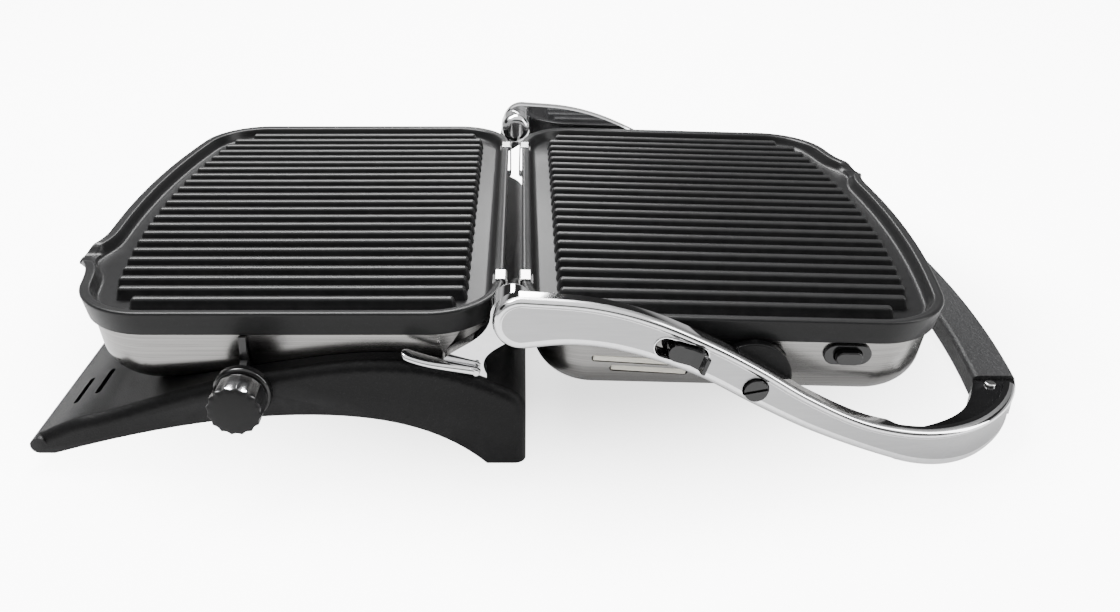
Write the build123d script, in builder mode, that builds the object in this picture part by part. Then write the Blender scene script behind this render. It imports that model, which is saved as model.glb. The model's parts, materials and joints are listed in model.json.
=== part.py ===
from build123d import *
from math import cos, radians, sin, sqrt, tan
import os

os.makedirs("parts", exist_ok=True)

# Contact grill, opened flat: base and lower plate on the left, lid and upper plate on the right.
# Origin on the counter, straight below the middle of the hinge axis. +X towards the opened lid,
# +Y along the hinge towards the far side, +Z up. Millimetres and degrees.

# Clearances
running_gap = 0.05  # shaft in its bush, on the radius
fixed_gap = 0.02  # pieces that are fitted and stay put, on the radius
seat_gap = 0.3  # a piece that rests on another and lifts off
side_gap = 0.5  # moving faces beside each other

# Hinge
hinge_height = 87.0
open_tilt = 1.6  # the lid opens this far past flat
pin_radius = 5.0
pin_bore = 2.6  # the pins are hollow, for the wires
bush_wall = 1.5

# Cooking plates, both from the same casting
plate_top = 86.0
plate_width = 297.0
plate_depth = 230.0
plate_gap = 9.0
plate_height = 13.5
plate_draft = 10.0
rim_width = 3.6
rim_depth = 7.0
floor_thickness = 3.6
hinge_corner = 38.0
front_corner = 42.0
front_radius = 600.0
rib_pitch = 11.8
rib_count = 23
rib_base = 6.4
rib_flank = 70.0
rib_drop = 0.4  # rib tops below the rim
rib_margin = 17.5
rib_side_margin = 15.2
rib_hinge_margin = 18.5
spout_y = -76.0
spout_radius = 17.0
spout_reach = 8.0
clip_y = 105.0
clip_width = 11.0
clip_sheet = 1.0

# Pressed steel dishes under the plates
dish_inset = 5.0
dish_draft = 6.0
sheet = 1.2
pan_depth = 35.7
pan_corner = 22.0
shell_depth = 37.2
shell_corner = 22.0

# Base housing, side view: x and z of the shoulder line from the rear to the front, and of the arch
base_half_width = 154.4
base_wall = 3.0
base_bottom = 1.2
base_rear = 6.7
nose_bottom = 7.5
rear_height = 31.0
rear_round = 14.0
rear_sweep = 63.4
shoulder = [(-34, 57), (-68, 61), (-112, 56), (-160, 45.5), (-212, 29), (-244.5, 16.5)]
arch = [(-13.4, base_bottom), (-54, 25), (-95, 31), (-150, 27.5), (-200, 17.5), (-236, nose_bottom)]
shoulder_round = 6.0
cover_sheet = 2.0
nose_solid = 226.0  # the front lip is solid beyond this

# Temperature knob
knob_x, knob_z = -134.0, 46.0
knob_radius = 13.6
knob_length = 15.5
knob_flutes = 16
cover_width = 3.6
bezel_radius = 14.6
bezel_length = 4.5
shaft_radius = 3.0

# Arms and handle, side view of the arm: x and z of its upper and lower edges
arm_inner = 153.0
arm_thickness = 10.0
arm_end_x = 4.5
arm_end_radius = 14.0
arm_upper = [(38, 98), (65, 90.8), (97, 76.2), (121, 62.8), (148, 45.8), (178, 31.4), (205, 25.8), (236, 23.5)]
arm_lower = [(236, 0.8), (212, 3.8), (187, 10.6), (150, 25.3), (121, 40.3), (88, 58.8), (53, 71.5), (28, 75)]
arm_straight = 195.0
corner_radius = 88.2
corner_sweep = 65.0
band_thickness = 6.5
grip_half = 104.0
grip_width = 23.5
grip_bow = 8.0
grip_outer_x = 286.0
grip_low, grip_high = 8.0, 23.0
pivot_x, pivot_z = 119.0, 51.0
pivot_head = 5.85
pivot_shank = 4.5

# Lock slide in the near arm
slot_x, slot_z = 81.3, 72.3
slot_slope = -17.0
slot_length = 26.0
slot_width = 9.6
slide_travel = 6.0

# Plate release, drawn for the base's far side
button_x = -168.5
button_z = 65.0
button_length, button_height = 13.6, 7.6
spring_radius = 2.9
button_travel = 3.0
bezel_plate = 1.8

# Feet, posts, cord gland, wiring
foot_rubber = 3.0
strip_x, strip_width, strip_length = -3.5, 13.0, 230.0
pad_x, pad_y, pad_width, pad_length, pad_height = -235.5, 118.0, 6.0, 30.0, 9.3
post_x, post_pitch_x, post_pitch_y = -95.0, 24.0, 130.0
screw_radius = 1.8
gland_x, gland_z = -14.0, 26.0
gland_radius, gland_bore, gland_length = 6.2, 3.6, 7.0
block_x, block_y = -7.2, 60.0
wire_radius = 1.2
end_screw_x, end_screw_y = 262.0, 109.5

# Ribbed conduit
conduit_z = 54.0
conduit_drop_y = -121.0
conduit_root, conduit_crest, conduit_bore = 3.0, 3.8, 2.2
conduit_pitch = 2.4
conduit_bend = 8.0
conduit_end_y = -50.0
conduit_gland_length = 8.0
collar_flange = 3.2
collar_bore = 1.4
lid_block_x = 52.0

# Vents in the lid shell's near wall
vent_length, vent_height = 40.0, 4.0
vents = [(59.7, 55.8), (69, 49.5)]
vent_slope = -4.0

rib_floor = plate_top - rim_depth
shell_floor = plate_top - plate_height - seat_gap - shell_depth + sheet
plate_bottom = plate_top - plate_height
dish_top = plate_bottom - seat_gap
hinge_line = Axis((0, 0, hinge_height), (0, 1, 0))


def opened(part):
    # A lid piece drawn level, swung down about the hinge to where the open lid rests.
    return part.rotate(hinge_line, open_tilt)


def turned(part):
    # A base piece turned half round, for the lid.
    return opened(part.rotate(Axis.Z, 180))


def write(label, part):
    part.label = label
    export_step(part, f"parts/{label}.step")


def plate_outline(inset, hinge_inset=None, side_inset=None):
    # Plan of a plate, drawn in by inset: straight hinge edge and sides, bowed front, round corners.
    back = -(plate_gap / 2 + (inset if hinge_inset is None else hinge_inset))
    side = plate_width / 2 - (inset if side_inset is None else side_inset)
    front = -(plate_gap / 2 + plate_depth - inset)
    bow = front_radius - sqrt(front_radius**2 - side**2)
    with BuildSketch() as outline:
        with BuildLine():
            Polyline((front + bow, -side), (back, -side), (back, side), (front + bow, side))
            ThreePointArc((front + bow, side), (front, 0), (front + bow, -side))
        make_face()
        fillet(outline.vertices().group_by(Axis.X)[-1], hinge_corner - inset)
        fillet(outline.vertices().group_by(Axis.X)[0], front_corner - inset)
    return outline.sketch


def dish(inset, top, depth, corner):
    # Solid of a pressed dish: drafted walls and a rounded bottom edge.
    with BuildPart() as solid:
        with BuildSketch(Plane.XY.offset(top)):
            add(plate_outline(inset))
        extrude(amount=-depth, taper=dish_draft)
        fillet(solid.faces().sort_by(Axis.Z)[0].edges(), corner)
    return solid.part


# Cooking plate
with BuildPart() as rib_bars:
    with BuildSketch(Plane.YZ.offset(-plate_gap / 2)) as rib_sections:
        with Locations((0, (rib_floor + plate_top - rib_drop) / 2)):
            with GridLocations(rib_pitch, 0, rib_count, 1):
                Trapezoid(rib_base, rim_depth - rib_drop, rib_flank)
        fillet(rib_sections.vertices().group_by(Axis.Y)[-1], 0.8)
    extrude(amount=-plate_depth)

with BuildPart() as rib_field:
    with BuildSketch(Plane.XY.offset(rib_floor)):
        add(plate_outline(rib_margin, rib_hinge_margin, rib_side_margin))
    extrude(amount=rim_depth, taper=20)
ribs = rib_bars.part & rib_field.part

with BuildPart() as lower_plate:
    with BuildSketch(Plane.XY.offset(plate_top)):
        add(plate_outline(0))
    extrude(amount=-plate_height, taper=plate_draft)
    with BuildSketch(Plane.XY.offset(plate_top)):
        add(plate_outline(rim_width))
    extrude(amount=-rim_depth, taper=25, mode=Mode.SUBTRACT)
    fillet(lower_plate.edges().group_by(Axis.Z)[-1], 1.2)
    with BuildSketch(Plane.XY.offset(plate_bottom)):
        add(plate_outline(dish_inset + 5))
    extrude(amount=plate_height - rim_depth - floor_thickness, mode=Mode.SUBTRACT)
    spout_rim = plate_gap / 2 + plate_depth - (front_radius - sqrt(front_radius**2 - spout_y**2))
    spout_x = -(spout_rim + spout_reach - spout_radius)
    with BuildSketch(Plane.XY.offset(plate_top - 2.5)):
        with Locations((spout_x, spout_y)):
            Circle(spout_radius)
    extrude(amount=-(plate_height - 6), taper=24)
    with BuildSketch(Plane.XY.offset(rib_floor + 1)):
        with Locations((spout_x, spout_y)):
            Circle(spout_radius - 3)
        with Locations((spout_x - spout_radius, spout_y)):
            Rectangle(spout_radius, spout_radius - 3)
    extrude(amount=rim_depth, mode=Mode.SUBTRACT)
    add(ribs)
    with Locations(*[(-plate_gap / 2 - 3, y, plate_top) for y in (-clip_y, clip_y)]):
        Box(8, clip_width + 2, 6, mode=Mode.SUBTRACT)
write("lower_plate", lower_plate.part)
write("upper_plate", turned(lower_plate.part))

# Clips that hook over the plate's hinge-side rim
with BuildPart() as lower_plate_clips:
    clip_out = -plate_gap / 2 + 1.1
    clip_foot = 63.0
    clip_back = 0.55 - plate_gap / 2 - dish_inset - (dish_top - clip_foot) * tan(radians(dish_draft))
    with BuildSketch(Plane.XZ.offset(clip_y - clip_width / 2)):
        with BuildLine():
            clip_line = FilletPolyline(
                (clip_back, clip_foot),
                (clip_out, clip_foot + 1.5),
                (clip_out, plate_top - 0.3),
                (-plate_gap / 2 - 4.5, plate_top - 0.3),
                radius=1.0,
            )
            offset(clip_line, clip_sheet / 2, side=Side.BOTH)
        make_face()
    extrude(amount=clip_width)
    mirror(about=Plane.XZ)
write("lower_plate_clips", lower_plate_clips.part)
write("upper_plate_clips", turned(lower_plate_clips.part))

# Pan and lid shell
button_drop = dish_top - button_z
button_wall = plate_width / 2 - dish_inset - button_drop * tan(radians(dish_draft))
button_plane = Plane(
    origin=(button_x, button_wall, button_z),
    x_dir=(-1, 0, 0),
    z_dir=(0, cos(radians(dish_draft)), -sin(radians(dish_draft))),
)
barrel_wall = 1.2
barrel_length, barrel_height = (size + 0.4 + 2 * barrel_wall for size in (button_length, button_height))


def pressed(depth, corner):
    # The dish as sheet, with the hole for its release button.
    with BuildPart() as skin:
        add(dish(dish_inset, dish_top, depth, corner))
        add(dish(dish_inset + sheet, dish_top, depth - sheet, corner - sheet), mode=Mode.SUBTRACT)
        with BuildSketch(button_plane.offset(-6)):
            SlotOverall(barrel_length + 0.4, barrel_height + 0.4)
        extrude(amount=12, mode=Mode.SUBTRACT)
    return skin.part


with BuildPart() as lower_pan:
    add(pressed(pan_depth, pan_corner))
    with BuildSketch(Plane.XZ.offset(arm_inner - 30)):
        with Locations((knob_x, knob_z)):
            Circle(shaft_radius + 1)
    extrude(amount=30, mode=Mode.SUBTRACT)
write("lower_pan", lower_pan.part)

# Reflector tray, heating element with its end caps and saddles, in one dish; the other's are the same
tray_rim = 66.0
tray_depth = 6.0
tray_inset = dish_inset + sheet + (dish_top - tray_rim) * tan(radians(dish_draft)) + 0.4
with BuildPart() as lower_reflector:
    add(dish(tray_inset, tray_rim, tray_depth, 3))
    add(dish(tray_inset + 0.8, tray_rim, tray_depth - 0.8, 2.2), mode=Mode.SUBTRACT)
    with Locations((button_x, plate_width / 2 - tray_inset, tray_rim)):
        Box(32, 34, 4 * tray_depth, mode=Mode.SUBTRACT)

element_radius = 3.3
element_z = 66.6
element_y = 98.0
element_inner_y = 34.0
element_back, element_front, element_turn = -42.0, -198.0, -76.0
with BuildPart() as lower_element:
    with BuildLine(Plane.XY.offset(element_z)) as element_line:
        FilletPolyline(
            (element_back, -element_y),
            (element_front, -element_y),
            (element_front, -element_inner_y),
            (element_turn, -element_inner_y),
            (element_turn, element_inner_y),
            (element_front, element_inner_y),
            (element_front, element_y),
            (element_back, element_y),
            radius=20,
        )
    with BuildSketch(Plane(origin=(element_back, -element_y, element_z), z_dir=(-1, 0, 0))):
        Circle(element_radius)
    sweep(path=element_line.wires()[0])

tray_floor = tray_rim - tray_depth + 0.8
with BuildPart() as lower_element_saddles:
    saddle_top = element_z + 1.0
    with BuildSketch(Plane.XY.offset(tray_floor + 0.05)):
        with GridLocations(70, 2 * element_y, 2, 2):
            with Locations((-125, 0)):
                Rectangle(8, 12)
    extrude(amount=saddle_top - tray_floor)
    with BuildSketch(Plane.YZ.offset(-240)):
        with Locations((-element_y, element_z), (element_y, element_z)):
            Circle(element_radius + 0.1)
            with Locations((0, 3)):
                Rectangle(2 * element_radius + 0.2, 6)
    extrude(amount=240, mode=Mode.SUBTRACT)

with BuildPart() as lower_element_caps:
    with BuildSketch(Plane.YZ.offset(element_back - 6)):
        with Locations((-element_y, element_z), (element_y, element_z)):
            Circle(element_radius + 1.4)
            Circle(element_radius + 0.05, mode=Mode.SUBTRACT)
    extrude(amount=6)
    with BuildSketch(Plane.YZ.offset(element_back)):
        with Locations((-element_y, element_z), (element_y, element_z)):
            Circle(element_radius + 1.4)
    extrude(amount=8)

for piece, label in (
    (lower_reflector, "reflector"),
    (lower_element, "element"),
    (lower_element_saddles, "element_saddles"),
    (lower_element_caps, "element_caps"),
):
    write("lower_" + label, piece.part)
    write("upper_" + label, turned(piece.part))

# Plate release: bezel in the dish's wall, button with its stem, latch and spring
barrel_depth = 9.0
web = 1.4
stem_radius = 1.6
button_proud = 3.6
with BuildPart() as lower_release_bezel:
    with BuildSketch(button_plane.offset(0.1)):
        SlotOverall(24, 12)
        SlotOverall(button_length + 0.4, button_height + 0.4, mode=Mode.SUBTRACT)
    extrude(amount=bezel_plate)
    with BuildSketch(button_plane.offset(0.1)):
        SlotOverall(barrel_length, barrel_height)
        SlotOverall(button_length + 0.4, button_height + 0.4, mode=Mode.SUBTRACT)
    extrude(amount=-barrel_depth)
    with BuildSketch(button_plane.offset(0.1 - barrel_depth)):
        SlotOverall(barrel_length, barrel_height)
        Circle(stem_radius + 0.2, mode=Mode.SUBTRACT)
    extrude(amount=-web)

with BuildPart() as lower_release_button:
    with BuildSketch(button_plane.offset(0.1 + bezel_plate + button_proud)):
        SlotOverall(button_length, button_height)
    extrude(amount=-(bezel_plate + button_proud + 1.0))
    fillet(lower_release_button.faces().sort_by(Axis.Y)[-1].edges(), 0.8)
    with BuildSketch(button_plane.offset(-0.9)):
        Circle(stem_radius)
    extrude(amount=-(barrel_depth + web + 1.5))

with BuildPart() as lower_release_latch:
    latch_at = -0.9 - barrel_depth - web - 1.5
    latch_lift = (1.6 - latch_at) * sin(radians(dish_draft))
    latch_reach = rib_floor - floor_thickness - 0.8 - button_z - latch_lift
    with BuildSketch(button_plane.offset(latch_at)):
        with Locations((0, 1.5)):
            RectangleRounded(14, 11, 2)
    extrude(amount=-1.6)
    with BuildSketch(button_plane.offset(latch_at)):
        with Locations((0, latch_reach / 2)):
            Rectangle(9, latch_reach)
    extrude(amount=-1.6)

with BuildPart() as lower_release_spring:
    spring_from = 0.5 - barrel_depth
    spring_length = barrel_depth - 2.2
    spring_plane = button_plane.offset(spring_from)
    with BuildLine() as spring_line:
        Helix(spring_length / 4, spring_length, spring_radius, spring_plane.origin, spring_plane.z_dir)
    with BuildSketch(Plane(origin=spring_line.line @ 0, z_dir=spring_line.line % 0)):
        Circle(0.4)
    sweep(path=spring_line.line, is_frenet=True)

for piece, label in (
    (lower_release_bezel, "release_bezel"),
    (lower_release_button, "release_button"),
    (lower_release_latch, "release_latch"),
    (lower_release_spring, "release_spring"),
):
    write("lower_" + label, piece.part)
    write("upper_" + label, turned(piece.part))

# Hinge: pins, and the goosenecks that rise from the base's shoulders to hold them
knuckle_radius = 10.5
knuckle_length = 18.0
neck_out, neck_in = 149.0, 141.0
neck_front, neck_rear = -35.0, -13.0
neck_foot = 44.0
lever_pin_x, lever_pin_z = -18.0, 55.6
lever_pin_radius = 1.5
with BuildPart() as hinge_bracket_near:
    with BuildSketch(Plane.XZ.offset(neck_in)):
        with BuildLine():
            neck_left = (neck_front, 60)
            neck_right = (knuckle_radius - 1, hinge_height - 4)
            Spline(neck_left, (-25, 67.5), (-16, 74), (-knuckle_radius, hinge_height))
            Polyline((-knuckle_radius, hinge_height), (0, hinge_height), neck_right)
            Spline(neck_right, (-1, 71), (neck_rear - 1, 60), (neck_rear, neck_foot + 8))
            Polyline((neck_rear, neck_foot + 8), (neck_rear, neck_foot), (neck_front, neck_foot), neck_left)
        make_face()
    extrude(amount=neck_out - neck_in)
    with BuildSketch(Plane.XZ.offset(arm_inner - side_gap - knuckle_length)):
        with Locations((0, hinge_height)):
            Circle(knuckle_radius)
    extrude(amount=knuckle_length)
    fillet(hinge_bracket_near.faces().sort_by(Axis.Y)[-1].edges(), 5)
    with BuildSketch(Plane.XZ.offset(arm_inner - side_gap - knuckle_length + 6)):
        with Locations((0, hinge_height)):
            Circle(pin_radius + fixed_gap)
    extrude(amount=knuckle_length, mode=Mode.SUBTRACT)
write("hinge_bracket_far", mirror(hinge_bracket_near.part, about=Plane.XZ))
with BuildPart() as drilled_bracket:
    add(hinge_bracket_near.part)
    with BuildSketch(Plane.XZ.offset(neck_out - 5)):
        with Locations((lever_pin_x, lever_pin_z)):
            Circle(lever_pin_radius + fixed_gap)
    extrude(amount=6, mode=Mode.SUBTRACT)
    with BuildSketch(Plane.XZ.offset(arm_inner - side_gap - knuckle_length - 1)):
        with Locations((0, hinge_height)):
            Circle(pin_bore)
    extrude(amount=8, mode=Mode.SUBTRACT)
write("hinge_bracket_near", drilled_bracket.part)

bush_length = 7.0
with BuildPart() as hinge_pins:
    with BuildSketch(Plane.XZ.offset(arm_inner - side_gap - knuckle_length + 6.2)):
        with Locations((0, hinge_height)):
            Circle(pin_radius)
            Circle(pin_bore, mode=Mode.SUBTRACT)
    extrude(amount=knuckle_length - 6.2 + side_gap + bush_length - 0.2)
    mirror(about=Plane.XZ)
write("hinge_pins", hinge_pins.part)

with BuildPart() as hinge_bushes:
    with BuildSketch(Plane.XZ.offset(arm_inner)):
        with Locations((0, hinge_height)):
            Circle(pin_radius + running_gap + bush_wall)
            Circle(pin_radius + running_gap, mode=Mode.SUBTRACT)
    extrude(amount=bush_length)
    mirror(about=Plane.XZ)
write("hinge_bushes", hinge_bushes.part)

# Arms: side view of the arm, cut to the plan of the band that turns in to the grip
corner_y = corner_radius - arm_inner - arm_thickness
with BuildPart() as arm_side:
    with BuildSketch(Plane.XZ.offset(grip_half - 10)):
        with BuildLine():
            top_point = (arm_end_x, hinge_height + arm_end_radius)
            low_point = (arm_end_x, hinge_height - arm_end_radius)
            Spline(top_point, *arm_upper, tangents=((1, 0.05), (1, -0.02)))
            Polyline(arm_upper[-1], (grip_outer_x, grip_high), (grip_outer_x, 3.5), arm_lower[0])
            Spline(*arm_lower, low_point, tangents=((-1, 0.02), (-1, 0)))
            ThreePointArc(low_point, (arm_end_x - arm_end_radius, hinge_height), top_point)
        make_face()
    extrude(amount=arm_inner + arm_thickness - grip_half + 10)

with BuildPart() as arm_plan:
    with BuildSketch():
        with BuildLine():
            outer = CenterArc((arm_straight, corner_y), corner_radius, -90, corner_sweep)
            inner = CenterArc((arm_straight, corner_y), corner_radius - band_thickness, -90, corner_sweep)
            Line(outer @ 1, inner @ 1)
            Polyline(
                inner @ 0,
                (arm_straight, -arm_inner),
                (arm_end_x - arm_end_radius - 1, -arm_inner),
                (arm_end_x - arm_end_radius - 1, -arm_inner - arm_thickness),
                outer @ 0,
            )
        make_face()
    extrude(amount=hinge_height + 40)

bush_outer = pin_radius + running_gap + bush_wall + fixed_gap
pivot_bush_radius = pivot_shank + running_gap + 2.6
pivot_bush_length = 5.0


def bored(arm):
    # The arm with its blind hinge bore and the stepped pivot hole, on the near side.
    with BuildPart() as result:
        add(arm)
        with BuildSketch(Plane.XZ.offset(arm_inner)):
            with Locations((0, hinge_height)):
                Circle(bush_outer)
        extrude(amount=bush_length + 0.2, mode=Mode.SUBTRACT)
        with BuildSketch(Plane.XZ.offset(arm_inner)):
            with Locations((pivot_x, pivot_z)):
                Circle(pivot_bush_radius + fixed_gap)
        extrude(amount=pivot_bush_length, mode=Mode.SUBTRACT)
        with BuildSketch(Plane.XZ.offset(arm_inner)):
            with Locations((pivot_x, pivot_z)):
                Circle(pivot_head + 0.25)
        extrude(amount=arm_thickness, mode=Mode.SUBTRACT)
    return result.part


plain_arm = bored(arm_side.part & arm_plan.part)
slot_plane = Plane(
    origin=(slot_x, -arm_inner - arm_thickness, slot_z),
    x_dir=(cos(radians(slot_slope)), 0, sin(radians(slot_slope))),
    z_dir=(0, -1, 0),
)
with BuildPart() as arm_near:
    add(plain_arm)
    with BuildSketch(slot_plane):
        SlotOverall(slot_length, slot_width)
    extrude(amount=-arm_thickness, mode=Mode.SUBTRACT)
write("arm_near", arm_near.part)
write("arm_far", mirror(plain_arm, about=Plane.XZ))

# Lock slide: a block in the slot, a flange behind the arm and a curled thumb tab
block_length = slot_length - slide_travel - 0.6
block_at = slide_travel / 2
with BuildPart() as lock_slide:
    with BuildSketch(slot_plane.offset(-arm_thickness - 0.3)):
        with Locations((block_at, 0)):
            SlotOverall(block_length, slot_width - 0.6)
    extrude(amount=arm_thickness + 2.3)
    with BuildSketch(slot_plane.offset(-arm_thickness - 0.3)):
        with Locations((block_at, 0)):
            SlotOverall(block_length + 4, slot_width + 4)
    extrude(amount=-1.6)
    with BuildSketch(Plane(slot_plane.origin, x_dir=slot_plane.x_dir, z_dir=slot_plane.y_dir)):
        with BuildLine():
            tab_line = FilletPolyline(
                (block_at - 3, -1.4),
                (block_at + 2.5, -1.4),
                (block_at + 7, -3.8),
                (block_at + 8, -7.5),
                radius=2.4,
            )
            offset(tab_line, 1.1, side=Side.BOTH)
        make_face()
    extrude(amount=4.2, both=True)
write("lock_slide", lock_slide.part)

# Lid pivots: bushes in the arms, blocks on the shell, screws through both
with BuildPart() as pivot_bushes:
    with BuildSketch(Plane.XZ.offset(arm_inner)):
        with Locations((pivot_x, pivot_z)):
            Circle(pivot_bush_radius)
            Circle(pivot_shank + running_gap, mode=Mode.SUBTRACT)
    extrude(amount=pivot_bush_length)
    mirror(about=Plane.XZ)
write("pivot_bushes", pivot_bushes.part)

screw_reach = 8.0
with BuildPart() as pivot_screws:
    with BuildSketch(Plane.XZ.offset(arm_inner + pivot_bush_length + 0.2)):
        with Locations((pivot_x, pivot_z)):
            Circle(pivot_head)
    extrude(amount=arm_thickness - pivot_bush_length + 0.6)
    with BuildSketch(Plane.XZ.offset(arm_inner + arm_thickness + 0.8)):
        with Locations((pivot_x, pivot_z)):
            Rectangle(2 * pivot_head, 1.3, rotation=12)
    extrude(amount=-1.4, mode=Mode.SUBTRACT)
    with BuildSketch(Plane.XZ.offset(arm_inner - screw_reach)):
        with Locations((pivot_x, pivot_z)):
            Circle(pivot_shank)
    extrude(amount=screw_reach + pivot_bush_length + 0.2)
    mirror(about=Plane.XZ)
write("pivot_screws", pivot_screws.part)

shell_solid = opened(dish(dish_inset - 0.1, dish_top, shell_depth, shell_corner).rotate(Axis.Z, 180))
boss_radius, boss_length = 20.0, 5.0
boss_below, boss_slope = 8.0, -28.0  # the block is cut off under the arm, along its lower edge
with BuildPart() as block_bar:
    with BuildSketch(Plane.XZ.offset(arm_inner - 30)):
        with Locations((pivot_x, pivot_z)):
            RectangleRounded(34, 30, 5)
    extrude(amount=30 - side_gap - boss_length)
    with BuildSketch(Plane.XZ.offset(arm_inner - side_gap - boss_length)):
        with Locations((pivot_x, pivot_z)):
            Circle(boss_radius)
    extrude(amount=boss_length)
    fillet(block_bar.faces().sort_by(Axis.Y)[0].edges(), 1)
with BuildPart() as pivot_hole:
    with BuildSketch(Plane.XZ.offset(arm_inner - screw_reach - 0.4)):
        with Locations((pivot_x, pivot_z)):
            Circle(pivot_shank + fixed_gap)
    extrude(amount=screw_reach + 2)
with BuildPart() as below_arm:
    with BuildSketch(Plane.XZ.offset(arm_inner - 60)):
        with Locations(Location((pivot_x, pivot_z, 0), (0, 0, boss_slope))):
            with Locations((0, -boss_below - 40)):
                Rectangle(160, 80)
    extrude(amount=60)
pivot_block = block_bar.part - shell_solid - pivot_hole.part - below_arm.part
write("pivot_block_near", pivot_block)
write("pivot_block_far", mirror(pivot_block, about=Plane.XZ))

# Base housing: a saddle on two legs, hollow from below, with a pocket for the pan
base_solid_half = base_half_width - base_wall
with BuildPart() as base_housing:
    with BuildSketch(Plane.XZ.offset(-base_half_width)):
        with BuildLine():
            Line((base_rear, base_bottom), (base_rear, rear_height))
            rear_arc = JernArc((base_rear, rear_height), (0, 1), rear_round, rear_sweep)
            Spline(rear_arc @ 1, *shoulder, tangents=(rear_arc % 1, (-1, -0.5)))
            ThreePointArc(shoulder[-1], (-248, 12), (-243.5, nose_bottom))
            Line((-243.5, nose_bottom), arch[-1])
            Spline(*arch[::-1])
            Line(arch[0], (base_rear, base_bottom))
        make_face()
    extrude(amount=2 * base_half_width)
    long_edges = [
        base_housing.faces().sort_by(Axis.Y)[side].edges().sort_by(Axis.Z)[-1] for side in (0, -1)
    ]
    fillet(long_edges, shoulder_round)
    with BuildSketch(Plane.XZ.offset(-base_solid_half)):
        with BuildLine():
            under = [(x, z - base_wall) for x, z in shoulder[:-1]]
            inner_rear = base_rear - base_wall
            Polyline((-nose_solid, 18), (-nose_solid, -1), (inner_rear, -1), (inner_rear, 24))
            Spline((inner_rear, 24), (-6, 39), *under, (-nose_solid, 18))
        make_face()
    extrude(amount=2 * base_solid_half, mode=Mode.SUBTRACT)
    add(dish(dish_inset - seat_gap, dish_top, pan_depth + seat_gap, pan_corner), mode=Mode.SUBTRACT)
    foot_mid_x = (neck_front + neck_rear) / 2
    foot_mid_y = (neck_out + neck_in) / 2
    with Locations((foot_mid_x, -foot_mid_y, 56), (foot_mid_x, foot_mid_y, 56)):
        Box(
            neck_rear - neck_front + 2 * running_gap,
            neck_out - neck_in + 2 * running_gap,
            2 * (56 - neck_foot) + 2 * running_gap,
            mode=Mode.SUBTRACT,
        )
    with BuildSketch(Plane.XY.offset(18)):
        with Locations((-232, -118), (-221, -115)):
            SlotOverall(25, 3.2, rotation=90)
    extrude(amount=30, mode=Mode.SUBTRACT)
    with BuildSketch(Plane.XZ.offset(base_solid_half - 20)):
        with Locations((knob_x, knob_z)):
            Circle(shaft_radius + 1)
    extrude(amount=base_wall + 21, mode=Mode.SUBTRACT)
    with BuildSketch(Plane.XZ.offset(-base_half_width - 1)):
        with Locations((gland_x, gland_z)):
            Circle(gland_radius + fixed_gap)
    extrude(amount=15, mode=Mode.SUBTRACT)
    with BuildSketch(Plane.XY):
        with GridLocations(0, 2 * pad_y, 1, 2):
            with Locations((pad_x, 0)):
                RectangleRounded(pad_width + 0.1, pad_length + 0.1, 2)
    extrude(amount=pad_height + 0.05, mode=Mode.SUBTRACT)
write("base_housing", base_housing.part)

# Cover that closes the base from below, with the posts that carry the pan and their screws
post_height = 33.2
with BuildPart() as base_cover:
    with BuildSketch(Plane.XZ.offset(-(base_solid_half - seat_gap))):
        with BuildLine():
            cover_rear = base_rear - base_wall - seat_gap
            raised = [(x, z + cover_sheet) for x, z in arch]
            Polyline(arch[0], (cover_rear, base_bottom), (cover_rear, base_bottom + cover_sheet), raised[0])
            Spline(*arch)
            Spline(*raised)
            Line(arch[-1], raised[-1])
        make_face()
    extrude(amount=2 * (base_solid_half - seat_gap))
    with Locations((-nose_solid - 20 + seat_gap, 0, 0)):
        Box(40, 2 * base_half_width, 40, mode=Mode.SUBTRACT)
    with BuildSketch(Plane.XY):
        with Locations((strip_x, 0)):
            RectangleRounded(strip_width + 0.1, strip_length + 0.1, 3)
    extrude(amount=foot_rubber + 0.05, mode=Mode.SUBTRACT)
    with BuildSketch(Plane.XY.offset(10)):
        with Locations((post_x, 0)):
            with GridLocations(post_pitch_x, post_pitch_y, 2, 2):
                Circle(screw_radius + 0.2)
    extrude(amount=30, mode=Mode.SUBTRACT)
write("base_cover", base_cover.part)

with BuildPart() as pan_posts:
    with BuildSketch(Plane.XY.offset(post_height)):
        with Locations((post_x, 0)):
            with GridLocations(post_pitch_x, post_pitch_y, 2, 2):
                Circle(7)
                Circle(screw_radius + fixed_gap, mode=Mode.SUBTRACT)
    extrude(amount=dish_top - pan_depth - 0.05 - post_height)
write("pan_posts", pan_posts.part)

with BuildPart() as base_screws:
    screw_seat = 30.0
    with BuildSketch(Plane.XY.offset(screw_seat)):
        with Locations((post_x, 0)):
            with GridLocations(post_pitch_x, post_pitch_y, 2, 2):
                Circle(3.4)
    extrude(amount=-2.2)
    with BuildSketch(Plane.XY.offset(screw_seat)):
        with Locations((post_x, 0)):
            with GridLocations(post_pitch_x, post_pitch_y, 2, 2):
                Circle(screw_radius)
    extrude(amount=5.8)
write("base_screws", base_screws.part)

with BuildPart() as rear_foot_strip:
    with BuildSketch(Plane.XY):
        with Locations((strip_x, 0)):
            RectangleRounded(strip_width, strip_length, 3)
    extrude(amount=foot_rubber)
write("rear_foot_strip", rear_foot_strip.part)

with BuildPart() as front_foot_pads:
    with BuildSketch(Plane.XY):
        with GridLocations(0, 2 * pad_y, 1, 2):
            with Locations((pad_x, 0)):
                RectangleRounded(pad_width, pad_length, 2)
    extrude(amount=pad_height)
write("front_foot_pads", front_foot_pads.part)

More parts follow.
